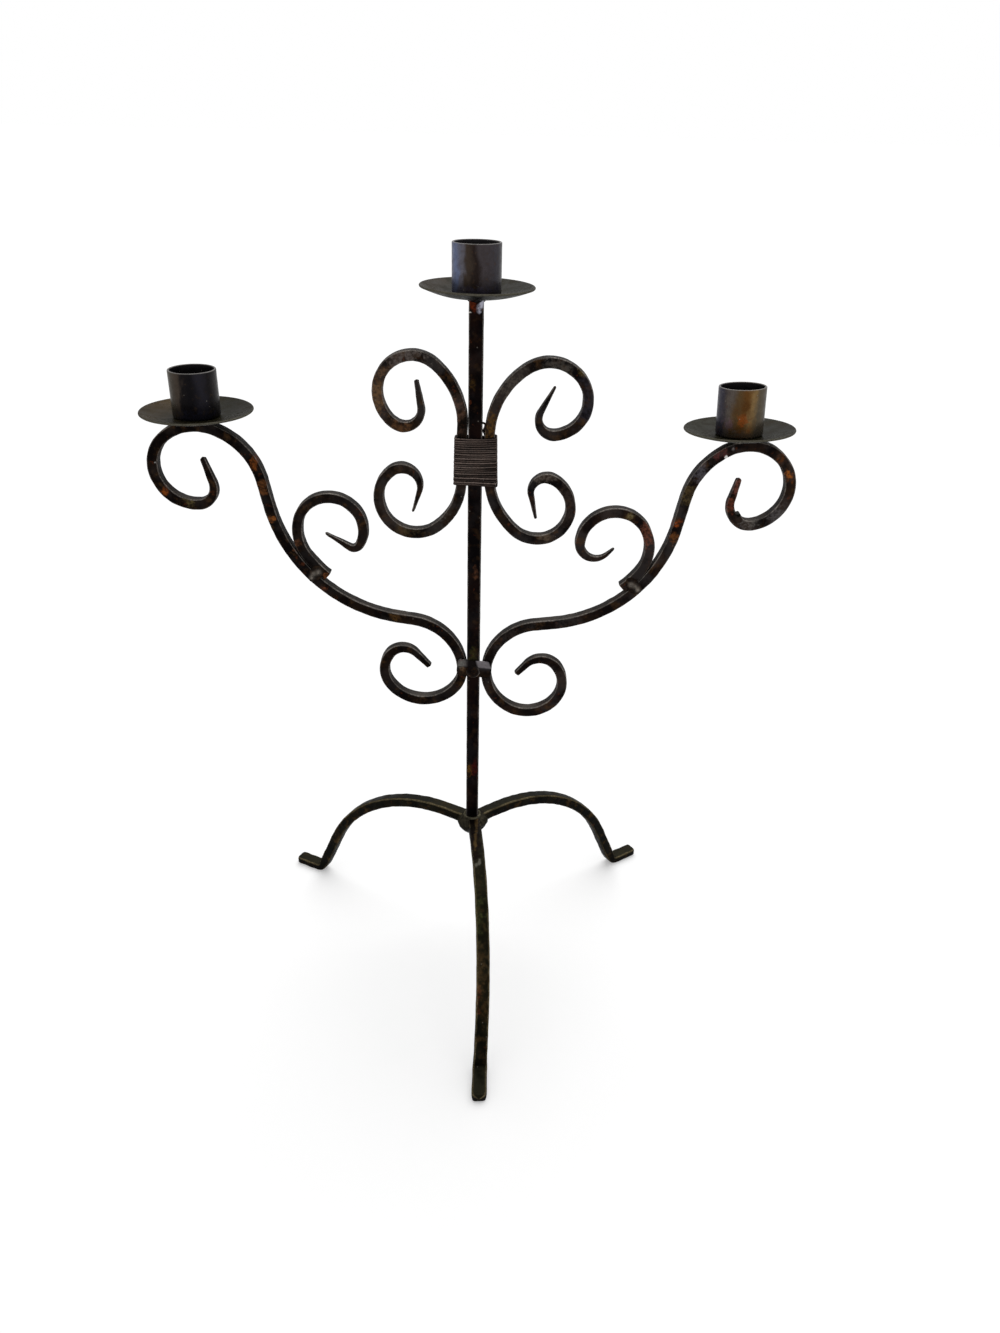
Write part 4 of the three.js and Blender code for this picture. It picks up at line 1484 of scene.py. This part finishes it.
@dataclass
class CandleSeat:
    """A drip pan with its cup and the rivet that holds them, welded on its support."""

    name: str
    x: float
    up: float
    back: float = 0.0
    inward: float = 0.0
    cup_radius: float = 13.6
    cup_wall: float = 1.2
    cup_height: float = 26.6
    pan_radius: float = 32.4
    pan_flat: float = 14.0
    pan_depth: float = 5.0
    pan_thick: float = 1.2
    pan_dip: float = 0.0
    pan_shift: float = 0.0
    pan_sweep: float = 18.0
    hole: float = 2.3
    weld: tuple[tuple[float, float], ...] = ()
    seed: int = 91
    sides: int = 144

    LIP = 0.6

    def add(
        self, kind: str, points: Array, marks: Marks, finish: Material, slot: Slot, node: str,
        ring: bool = False,
    ) -> None:
        """Adds a piece that is drawn upright on the origin: leans it back and inward and moves it.

        Args:
            kind: Its name after the seat's.
            points: Its grid of points.
            marks: Values for the shader.
            finish: Its material.
            slot: The record's slot that the finish belongs to; not used.
            node: Name, after the seat's, of the solid that it stands for.
            ring: Whether its grid closes along its length.
        """
        back = Matrix.Rotation(-np.radians(self.back), 3, "X")
        inward = Matrix.Rotation(-np.sign(self.x) * np.radians(self.inward), 3, "Y")
        points = points @ np.array(back @ inward).T + np.array([self.x, 0.0, self.up])
        add_piece(f"{self.name}_{kind}", points, marks, finish, f"{self.name}_{node}", ring)

    def lathe(self, outline: Array) -> tuple[Array, Array, Array]:
        """Grids of an outline turned round the seat's axis.

        Args:
            outline: Its radius and height pairs.

        Returns:
            Angles as one row, radii and heights as whole grids.
        """
        around = full_turn(self.sides)
        radius, height = columns(outline)
        return around, radius + 0 * around, height + 0 * around

    def build_pan(self, finish: Material) -> None:
        """Builds the saucer: flat in the middle, its rim sweeping up as the power 1.5, edge rounded.

        Args:
            finish: Its material.
        """
        share = np.linspace(0, 1, 26)
        rise, thick, brim = self.pan_depth - self.pan_thick, self.pan_thick, self.pan_radius - self.LIP
        rim = np.stack([self.pan_flat + (brim - self.pan_flat) * share, rise * share ** 1.5], -1)
        flat = np.stack([np.linspace(self.hole, self.pan_flat, 9)[:-1], np.zeros(8)], -1)
        under = np.vstack([flat, rim])
        nose = np.linspace(-np.pi / 2, np.pi / 2, 7)
        lip = [brim + self.LIP * np.cos(nose), rise + thick / 2 + thick / 2 * np.sin(nose)]
        over = under[::-1] + np.array([0, thick])
        outline = np.vstack([under[:-1], np.stack(lip, -1), over[1:]])
        around, radius, height = self.lathe(outline)
        rim_share = np.clip((radius - self.pan_flat) / self.pan_sweep, 0, 1)
        warp = 0.12 * rim_share * ripple(self.seed, radius * 0, around, 30.0)
        dip = np.abs(warp) + rim_share * self.pan_dip * np.cos(around)
        points = lathed(radius, around, height - dip)
        points[..., 0] += self.pan_shift * rim_share
        edge = np.exp(-((radius - self.pan_radius) / 0.55) ** 2)
        below = 0 * edge + (np.arange(len(outline)) < len(under) - 1)[:, None]
        marks = {"edge": edge, "under": below}
        self.add("saucer", points, marks, finish, Slot.PAN, "drip_pan", True)

    def build_cup(self, finish: Material) -> None:
        """Builds the cup: a thin wall and floor with a rolled lip, very slightly out of round.

        Args:
            finish: Its material.
        """
        out, wall, tall = self.cup_radius, self.cup_wall, self.cup_height
        inner = out - wall
        outline = np.array([
            (self.hole, 0), (8.0, 0), (out - 1.0, 0), (out - 0.3, 0.3), (out, 1.0), (out, 4), (out, 9),
            (out, 14), (out, 19), (out, 24), (out, tall - 0.5), (out - 0.12, tall - 0.15),
            (out - 0.4, tall), (inner + 0.4, tall), (inner + 0.1, tall - 0.15), (inner, tall - 0.5),
            (inner, 20), (inner, 14), (inner, 8), (inner, wall + 1.2), (inner - 0.35, wall + 0.35),
            (inner - 1.2, wall), (7.0, wall), (self.hole, wall),
        ], float)
        around, radius, height = self.lathe(outline)
        bent = np.clip(height / tall, 0, 1)
        oval = 0.1 * bent * ripple(self.seed + 1, height * 0.3, around, 30.0)
        dip = 0.1 * bent ** 6 * np.abs(ripple(self.seed + 2, height * 0, around, 30.0))
        reach = radius - np.abs(oval) * (radius > 3)
        base = self.pan_thick + CLEARANCE * 0.4
        points = lathed(reach, around, height + base - dip)
        lip = np.exp(-((height - tall) / 0.22) ** 2)
        # The inside mark is where the cup is darkened with painted shade.
        inside = (radius < out - 0.7 * wall) & (height < tall - 0.3) & (height > 0.5)
        marks = {"edge": lip, "inside": inside.astype(float)}
        self.add("cup", points, marks, finish, Slot.CUP, "candle_cup", True)

    def build_rivet(self, finish: Material) -> None:
        """Builds the rivet through pan and cup, with its low dome inside the cup.

        Args:
            finish: Its material.
        """
        seat = self.pan_thick + self.cup_wall + 0.25
        outline = rounded([
            (0.1, 0.05), (1.9, 0.05), (2.0, 0.2), (2.0, seat), (3.9, seat), (4.0, seat + 0.3),
            (3.4, seat + 0.9), (2.0, seat + 1.3), (0.1, seat + 1.4),
        ], 2)
        around, radius, height = self.lathe(outline)
        points = lathed(radius, around, height)
        # Painted highlight on the rim of the dome, and painted shade at half strength, as inside the cup.
        marks = {"edge": 0.4 * (radius > 3.6), "inside": np.ones_like(radius) * 0.5}
        self.add("rivet", points, marks, finish, Slot.CUP, "cup_rivet")

    def build_weld(self, finish: Material) -> None:
        """Builds the weld under the pan: its outline turned round the seat, ragged with beads.

        Args:
            finish: Its material.
        """
        around, radius, height = self.lathe(rounded(self.weld, 2))
        beads = 0.25 * np.abs(np.sin(around * 6 + 0.5 * height))
        beads = beads + 0.25 * ripple(self.seed + 4, height * 3, around, 8.0)
        points = lathed(radius + beads * np.clip(radius / 4, 0, 1), around, height)
        # Painted highlight on the beads of the weld.
        marks = {"edge": np.clip(0.3 + beads, 0, 1)}
        self.add("seat_weld", points, marks, finish, Slot.WELD, "pan_weld")

    def build(self, pan: Material, cup: Material) -> None:
        """Builds pan, cup and rivet.

        Args:
            pan: The pan's finish.
            cup: The finish of cup and rivet.
        """
        self.build_pan(pan)
        self.build_cup(cup)
        self.build_rivet(cup)


# ---- Studio ----


@dataclass
class Studio:
    """White floor and surroundings, one wide soft lamp from above, and the camera."""

    focal: float = 1013.618
    eye: tuple[float, float, float] = (17.475, -583.865, 542.866)
    pitch: float = 0.4997
    roll: float = -0.0229
    frame_height: float = 1333.0
    world_light: float = 0.5
    lamp_light: float = 1.6
    lamp_spread: float = 60.0
    lamp_tilt: tuple[float, float] = (-32.0, 6.0)
    floor_half: float = 30.0
    floor_white: float = 0.82
    floor_glow: float = 0.3
    sensor: float = 36.0

    @staticmethod
    def seen(tree: Tree) -> Socket:
        """1 for rays from the camera and for reflections and refractions, else 0.

        Args:
            tree: The tree that asks.

        Returns:
            The value.
        """
        rays = tree.node("ShaderNodeLightPath").outputs
        direct = tree.maths("MAXIMUM", rays["Is Camera Ray"], rays["Is Glossy Ray"])
        return tree.maths("MAXIMUM", direct, rays["Is Transmission Ray"])

    def build_world(self) -> None:
        """Makes the surroundings: white to the camera and in reflections, dimmer as a light."""
        world = bpy.data.worlds.new("studio_world")
        world.use_nodes = True
        tree = Tree(world.node_tree)
        strength = tree.node("ShaderNodeMapRange")
        tree.feed(strength.inputs["Value"], self.seen(tree))
        strength.inputs["To Min"].default_value = self.world_light
        strength.inputs["To Max"].default_value = 1.0
        background = world.node_tree.nodes["Background"]
        background.inputs["Color"].default_value = (1, 1, 1, 1)
        tree.feed(background.inputs["Strength"], strength.outputs["Result"])
        bpy.context.scene.world = world

    def build_floor(self) -> None:
        """Makes the floor: white, with a glow for the camera that leaves the object's shadow."""
        mesh = bpy.data.meshes.new("studio_floor")
        half = self.floor_half
        corners = [(-half, -half, 0), (half, -half, 0), (half, half, 0), (-half, half, 0)]
        mesh.from_pydata(corners, [], [(0, 1, 2, 3)])
        floor = bpy.data.objects.new("studio_floor", mesh)
        bpy.context.scene.collection.objects.link(floor)
        material = bpy.data.materials.new("floor_white")
        material.use_nodes = True
        material.node_tree.nodes.clear()
        tree = Tree(material.node_tree)
        paper = tree.node("ShaderNodeBsdfDiffuse")
        paper.inputs["Color"].default_value = (*[self.floor_white] * 3, 1)
        glow = tree.node("ShaderNodeEmission")
        tree.feed(glow.inputs["Strength"], tree.times(self.seen(tree), self.floor_glow))
        both = tree.node("ShaderNodeAddShader")
        tree.feed(both.inputs[0], paper.outputs["BSDF"])
        tree.feed(both.inputs[1], glow.outputs["Emission"])
        output = tree.node("ShaderNodeOutputMaterial")
        tree.feed(output.inputs["Surface"], both.outputs["Shader"])
        mesh.materials.append(material)

    def build_lamp(self) -> None:
        """Makes the wide lamp above and behind, a little to one side."""
        lamp = bpy.data.lights.new("overhead_lamp", "SUN")
        lamp.energy = self.lamp_light
        lamp.angle = np.radians(self.lamp_spread)
        holder = bpy.data.objects.new("overhead_lamp", lamp)
        holder.rotation_euler = (*np.radians(self.lamp_tilt), 0.0)
        bpy.context.scene.collection.objects.link(holder)

    def build_camera(self) -> None:
        """Makes the camera: it looks down along +Y, with a slight roll."""
        cos_p, sin_p = np.cos(self.pitch), np.sin(self.pitch)
        forward = np.array([0.0, cos_p, -sin_p])
        right = np.array([1.0, 0.0, 0.0])
        down = np.cross(forward, right)
        cos_r, sin_r = np.cos(self.roll), np.sin(self.roll)
        level = cos_r * right + sin_r * down
        low = -sin_r * right + cos_r * down
        place = np.eye(4)
        place[:3, 0], place[:3, 1], place[:3, 2] = level, -low, -forward
        place[:3, 3] = (np.array(self.eye) + POST_AXIS) * MILLIMETRE
        camera = bpy.data.cameras.new("camera")
        camera.sensor_fit = "VERTICAL"
        camera.sensor_height = self.sensor
        camera.lens = self.focal * self.sensor / self.frame_height
        camera.clip_start = 0.01
        camera.clip_end = 100.0
        holder = bpy.data.objects.new("camera", camera)
        holder.matrix_world = Matrix(place.tolist())
        bpy.context.scene.collection.objects.link(holder)
        bpy.context.scene.camera = holder

    def build(self) -> None:
        """Builds the whole studio."""
        bpy.context.scene.view_settings.view_transform = "Standard"
        self.build_world()
        self.build_floor()
        self.build_lamp()
        self.build_camera()


# ---- Assembly ----


C_SCROLLS = (
    CScroll(
        "left_c_scroll", -1, 0.5,
        (Straight(20), Bend(47, 48), Bend(20, 99), Bend(21.5, 93), Bend(9.5, 129), Straight(16.2)),
        (Straight(9.5), Bend(40.5, 52), Bend(21.5, 179), Bend(10.6, 149), Straight(14.2)),
        tips=(1.4, 2.7), settle=0.72, seed=61,
    ),
    CScroll(
        "right_c_scroll", 1, 1.12,
        (Straight(15.5), Bend(46, 57), Bend(23, 94), Bend(20, 114), Bend(9, 123), Straight(16.8)),
        (Straight(8.5), Bend(46, 50), Bend(20, 194), Bend(9, 128), Straight(15.6)),
        tips=(1.7, 1.5), settle=-0.15, seed=66,
    ),
)
SEATS = (
    CandleSeat(
        "top", 0.0, 454.6, pan_radius=31.9, pan_depth=5.9, pan_dip=0.4, pan_shift=0.4, seed=91,
        weld=((1, -3.0), (4.3, -2.9), (5.2, -1.5), (5.9, -0.1), (1, -0.1)),
    ),
    CandleSeat(
        "left", LEFT_SEAT, 384.159, seed=101,
        weld=((1, -3.7), (3.8, -3.6), (4.6, -1.4), (4.8, -0.1), (1, -0.1)),
    ),
    CandleSeat(
        "right", RIGHT_SEAT, 380.568, back=2.5, inward=2.2, pan_radius=32.0, cup_height=27.4, seed=111,
        weld=((1, -4.4), (3.8, -4.3), (4.6, -1.8), (4.8, -0.1), (1, -0.1)),
    ),
)

# Bands round each cup, rows of degrees from the front and red, green and blue as shown: heat colours,
# which also stand for painted reflections, such as the bluish light on the left of the top and right
# cups.
TOP_BANDS = (
    (-180, 60, 56, 58), (-100, 86, 84, 92), (-56, 96, 106, 136), (-36, 94, 92, 100),
    (-20, 58, 48, 40), (-2, 34, 25, 22), (16, 64, 58, 60), (60, 58, 56, 62),
    (100, 92, 90, 90), (180, 60, 56, 58),
)
LEFT_BANDS = (
    (-180, 40, 36, 34), (-58, 66, 61, 50), (-24, 63, 54, 46), (-10, 14, 11, 13),
    (6, 7, 6, 10), (31, 31, 30, 37), (54, 22, 20, 22), (107, 48, 46, 46),
    (180, 40, 36, 34),
)
RIGHT_BANDS = (
    (-180, 62, 56, 50), (-98, 52, 50, 64), (-68, 46, 44, 56), (-46, 84, 76, 70),
    (-27, 84, 64, 38), (-6, 98, 64, 24), (10, 128, 102, 64), (29, 88, 79, 64),
    (77, 84, 78, 70), (180, 62, 56, 50),
)


# Patches of colour for each finish, rows of x, height, size, red, green, blue, strength and perhaps
# tallness. Most are stains, rust and bronze; the large grey patches on the C-scrolls and the right arm
# are painted sheen, and the wide, flat patches low on each cup make a lighter band round its foot.
STAINS_AND_PAINTED_LIGHT = {
    "post": patch_rows(
        (-2.2, 450.9, 2.6, 98, 38, 15, 0.8, 1.1), (-1.8, 409.0, 2.2, 62, 44, 18, 0.6, 1.6),
        # The olive patch at x 0.2, just above the strap, is a painted highlight.
        (0.9, 292.0, 1.6, 96, 62, 42, 0.5, 2.6), (0.2, 233.5, 3.0, 58, 54, 24, 0.7, 1.6),
        (-2.6, 144.4, 2.2, 92, 62, 20, 0.85, 2.2), (1.4, 146.4, 2.4, 64, 16, 11, 0.8, 2.6),
    ),
    "left": patch_rows(
        (-130.6, 358.5, 3.0, 120, 66, 28, 0.75, 1.5), (-127.1, 343.7, 3.0, 98, 60, 32, 0.7, 1.4),
        (-122.6, 323.9, 1.8, 130, 76, 34, 0.8), (-185.3, 340.4, 2.4, 136, 70, 24, 0.8),
        (-172.4, 333.5, 3.0, 96, 84, 50, 0.6, 0.8), (-109.7, 307.9, 2.6, 92, 58, 36, 0.7, 1.3),
        (-92.6, 287.1, 2.2, 112, 66, 38, 0.7), (-93.5, 278.3, 2.0, 120, 70, 44, 0.6),
        (-189.1, 357.8, 0.6, 170, 168, 164, 0.8), (-51.0, 260.2, 2.6, 84, 58, 28, 0.7),
    ),
    "right": patch_rows(
        (185.2, 358.3, 2.8, 150, 84, 30, 0.8, 1.2), (179.0, 368.0, 2.8, 104, 60, 26, 0.45),
        (122.1, 326.9, 2.6, 140, 66, 24, 0.8, 1.1), (121.9, 317.8, 3.2, 112, 68, 34, 0.6, 1.2),
        (127.4, 345.9, 5.0, 84, 70, 44, 0.6, 1.5), (143.3, 371.4, 4.0, 92, 48, 46, 0.6, 0.8),
        (133.0, 359.5, 5.0, 92, 88, 94, 0.55, 1.4), (156.0, 350.3, 3.2, 112, 68, 56, 0.65, 1.8),
        (152.8, 339.0, 3.2, 112, 58, 42, 0.6, 1.4), (165.7, 327.9, 6.0, 96, 92, 88, 0.6, 0.7),
        (183.2, 332.3, 6.5, 86, 82, 82, 0.6), (105.9, 318.7, 4.2, 114, 68, 52, 0.65, 1.9),
        (94.0, 331.3, 2.4, 112, 98, 64, 0.7, 0.8), (38.0, 262.0, 34.0, 9, 6, 5, 0.75),
    ),
    "left_c_scroll": patch_rows(
        (-41.0, 424.7, 15.0, 92, 84, 80, 0.75, 0.5), (-58.2, 400.4, 9.0, 112, 84, 58, 0.65, 1.7),
        (-43.3, 381.8, 6.0, 96, 66, 42, 0.6, 0.7), (-22.2, 407.4, 2.6, 142, 100, 74, 0.85),
        (-14.3, 392.9, 7.0, 88, 64, 52, 0.6, 1.8), (-42.0, 317.9, 7.0, 70, 60, 40, 0.6, 0.6),
        (-20.5, 331.2, 6.0, 74, 70, 66, 0.5, 1.2),
    ),
    "right_c_scroll": patch_rows(
        (47.6, 417.9, 10.0, 78, 72, 66, 0.6, 0.5), (60.0, 416.0, 3.2, 92, 74, 36, 0.7, 0.8),
        (20.9, 407.8, 8.0, 84, 76, 68, 0.5, 1.5), (65.6, 399.3, 10.0, 46, 43, 50, 0.6, 1.8),
        (8.8, 384.7, 4.2, 88, 62, 28, 0.8, 1.9), (40.6, 355.0, 6.0, 98, 88, 80, 0.65, 0.7),
        (57.3, 340.6, 8.0, 60, 50, 46, 0.5, 1.6), (18.4, 340.9, 2.2, 128, 98, 68, 0.7, 3.0),
        (43.4, 316.0, 5.0, 112, 96, 80, 0.4, 0.5),
    ),
    "legs": patch_rows(
        (4.7, 86.0, 6.0, 72, 76, 42, 0.75, 1.4), (6.8, 62.0, 6.0, 84, 66, 42, 0.6, 1.8),
        (7.4, 46.0, 2.4, 110, 56, 34, 0.5, 3.0), (8.0, 6.0, 10.0, 7, 7, 4, 0.8),
    ),
    "collar": patch_rows(
        (-7.6, 229.5, 2.4, 92, 94, 86, 0.6), (-6.4, 225.8, 1.6, 112, 86, 62, 0.7),
    ),
    "top_pan": patch_rows(
        # The black patch at x 0.9 is a painted reflection of the dark post in the pan's underside.
        (-27.0, 459.0, 12.0, 66, 54, 40, 0.5, 0.5), (0.9, 457.4, 7.6, 3, 3, 3, 1.0, 0.42),
        (19.5, 460.8, 0.7, 16, 12, 10, 0.9),
    ),
    "left_pan": patch_rows(
        (-186.0, 388.0, 12.0, 64, 51, 23, 0.7, 0.6), (-139.4, 393.5, 0.7, 150, 146, 130, 0.9),
    ),
    "right_pan": patch_rows(
        (128.0, 386.0, 12.0, 50, 50, 30, 0.5, 0.6),
    ),
    "top_cup": patch_rows(
        (0.0, 457.6, 12.0, 70, 66, 86, 0.7, 0.3),
    ),
    "left_cup": patch_rows(
        (-161.0, 387.4, 12.0, 46, 46, 62, 0.7, 0.3),
    ),
    "right_cup": patch_rows(
        (151.8, 393.4, 2.8, 132, 64, 18, 0.85, 1.4), (152.2, 400.5, 2.6, 66, 40, 14, 0.8, 2.0),
        (155.3, 387.4, 2.2, 150, 92, 44, 0.8, 1.3), (144.6, 389.3, 2.8, 96, 74, 86, 0.7, 1.2),
        (147.5, 398.0, 2.4, 74, 50, 24, 0.6, 1.4), (153.0, 383.6, 12.0, 96, 90, 84, 0.6, 0.3),
    ),
}
FRESH_STAINS_AND_PAINTED_LIGHT = {
    "post": patch_rows(
        # The pale grey patch at x 3.0 is a painted highlight where the pan meets the post.
        (3.0, 450.2, 2.0, 176, 176, 190, 0.9, 1.4), (-3.5, 446.8, 1.0, 215, 210, 204, 1.0, 0.6),
    ),
    "right": patch_rows(
        # The white spot at x 147.0 and the grey one at x 150.5 are painted highlights under the right
        # pan.
        (159.0, 333.8, 2.0, 5, 6, 4, 0.95), (147.0, 368.8, 0.8, 205, 202, 198, 1.0),
        (150.5, 373.8, 1.2, 104, 98, 96, 0.8),
    ),
    "legs": patch_rows(
        (2.4, 104.2, 5.5, 16, 9, 7, 0.95, 0.48), (3.3, 104.1, 1.1, 88, 70, 42, 0.5, 0.8),
        (1.6, 99.8, 1.3, 100, 98, 90, 0.8), (4.2, 100.7, 1.2, 90, 88, 78, 0.75, 0.45),
        (6.7, 101.4, 1.1, 90, 88, 78, 0.75, 0.45),
    ),
}


def build_finishes() -> dict[str, Material]:
    """Makes every finish once.

    Returns:
        The materials by name.
    """
    x, y = float(POST_AXIS[0]), float(POST_AXIS[1])
    finishes = {
        "post": ForgedIron(
            "post_iron", 1.0, black=tone(7, 5, 6), brown=tone(20, 11, 9), painted_sheen_share=0.08,
            bronze_share=0.2, patches=STAINS_AND_PAINTED_LIGHT["post"], fresh_and_painted_light=FRESH_STAINS_AND_PAINTED_LIGHT["post"],
        ),
        "left": ForgedIron("left_arm_iron", 2.3, painted_sheen_share=0.12, patches=STAINS_AND_PAINTED_LIGHT["left"]),
        "right": ForgedIron(
            "right_arm_iron", 3.1, black=tone(14, 10, 10), brown=tone(36, 25, 19), painted_sheen_share=0.3,
            patches=STAINS_AND_PAINTED_LIGHT["right"], fresh_and_painted_light=FRESH_STAINS_AND_PAINTED_LIGHT["right"],
        ),
        "left_c_scroll": ForgedIron(
            "left_scroll_iron", 4.7, black=tone(12, 9, 8), brown=tone(34, 25, 19), painted_sheen_share=0.32,
            patches=STAINS_AND_PAINTED_LIGHT["left_c_scroll"],
        ),
        "right_c_scroll": ForgedIron(
            "right_scroll_iron", 4.1, black=tone(10, 8, 9), brown=tone(30, 22, 18), painted_sheen_share=0.25,
            patches=STAINS_AND_PAINTED_LIGHT["right_c_scroll"],
        ),
        "legs": ForgedIron(
            "leg_iron", 5.9, black=tone(5, 5, 3), brown=tone(22, 19, 11), grey=tone(34, 34, 25),
            bronze=tone(74, 56, 32), dust_and_top_light=tone(31, 30, 21), worn=tone(118, 106, 80), bronze_share=0.6,
            rust_share=0.2, patches=STAINS_AND_PAINTED_LIGHT["legs"], fresh_and_painted_light=FRESH_STAINS_AND_PAINTED_LIGHT["legs"],
        ),
        # The collar's pale top colour is a painted highlight on the strap's lit top facet.
        "collar": ForgedIron(
            "collar_iron", 6.4, painted_sheen_share=0.1, dust_and_top_light=tone(160, 154, 158), patches=STAINS_AND_PAINTED_LIGHT["collar"],
        ),
        "weld": WeldMetal("weld_metal", 7.0, grey=tone(150, 142, 132)),
        "top_weld": WeldMetal("top_weld_metal", 7.2, tone(8, 7, 7), tone(44, 42, 42), tone(20, 14, 12)),
        "hub": WeldMetal("hub_metal", 7.4, tone(12, 11, 8), tone(84, 80, 66), tone(30, 26, 18)),
        "wire": BindingWire("wire_metal", 8.0),
        "top_pan": SaucerSteel("top_saucer_steel", 9.0, patches=STAINS_AND_PAINTED_LIGHT["top_pan"]),
        "left_pan": SaucerSteel("left_saucer_steel", 9.6, patches=STAINS_AND_PAINTED_LIGHT["left_pan"]),
        "right_pan": SaucerSteel("right_saucer_steel", 8.3, patches=STAINS_AND_PAINTED_LIGHT["right_pan"]),
        "top_cup": TemperedCup(
            "top_cup_steel", 10.0, (x, y), TOP_BANDS, tone(86, 62, 44), 0.25, patches=STAINS_AND_PAINTED_LIGHT["top_cup"],
        ),
        "left_cup": TemperedCup(
            "left_cup_steel", 11.0, (x + LEFT_SEAT, y), LEFT_BANDS, tone(70, 54, 34), 0.2,
            patches=STAINS_AND_PAINTED_LIGHT["left_cup"],
        ),
        "right_cup": TemperedCup(
            "right_cup_steel", 12.0, (x + RIGHT_SEAT, y), RIGHT_BANDS, tone(112, 58, 22), 0.2,
            patches=STAINS_AND_PAINTED_LIGHT["right_cup"],
        ),
    }
    return {key: finish.make() for key, finish in finishes.items()}


def main() -> None:
    """Builds the stand from the studio to the cups."""
    logging.basicConfig(level=logging.INFO, format="%(name)s: %(message)s")
    Studio().build()
    finishes = build_finishes()
    Post().build(finishes["post"])
    Tripod().build(finishes["legs"], finishes["hub"])
    Arm("left_arm", LEFT_ARM, seed=41).build(finishes["left"], finishes["weld"])
    Arm("right_arm", RIGHT_ARM, seed=51).build(finishes["right"], finishes["weld"])
    for scroll in C_SCROLLS:
        scroll.build(finishes[scroll.name])
    Binding().build(finishes["wire"])
    Collar().build(finishes["collar"])
    for seat in SEATS:
        seat.build(finishes[f"{seat.name}_pan"], finishes[f"{seat.name}_cup"])
    for seat in SEATS:
        seat.build_weld(finishes["top_weld" if seat.name == "top" else "weld"])
    bpy.context.view_layer.update()


if __name__ == "__main__":
    main()
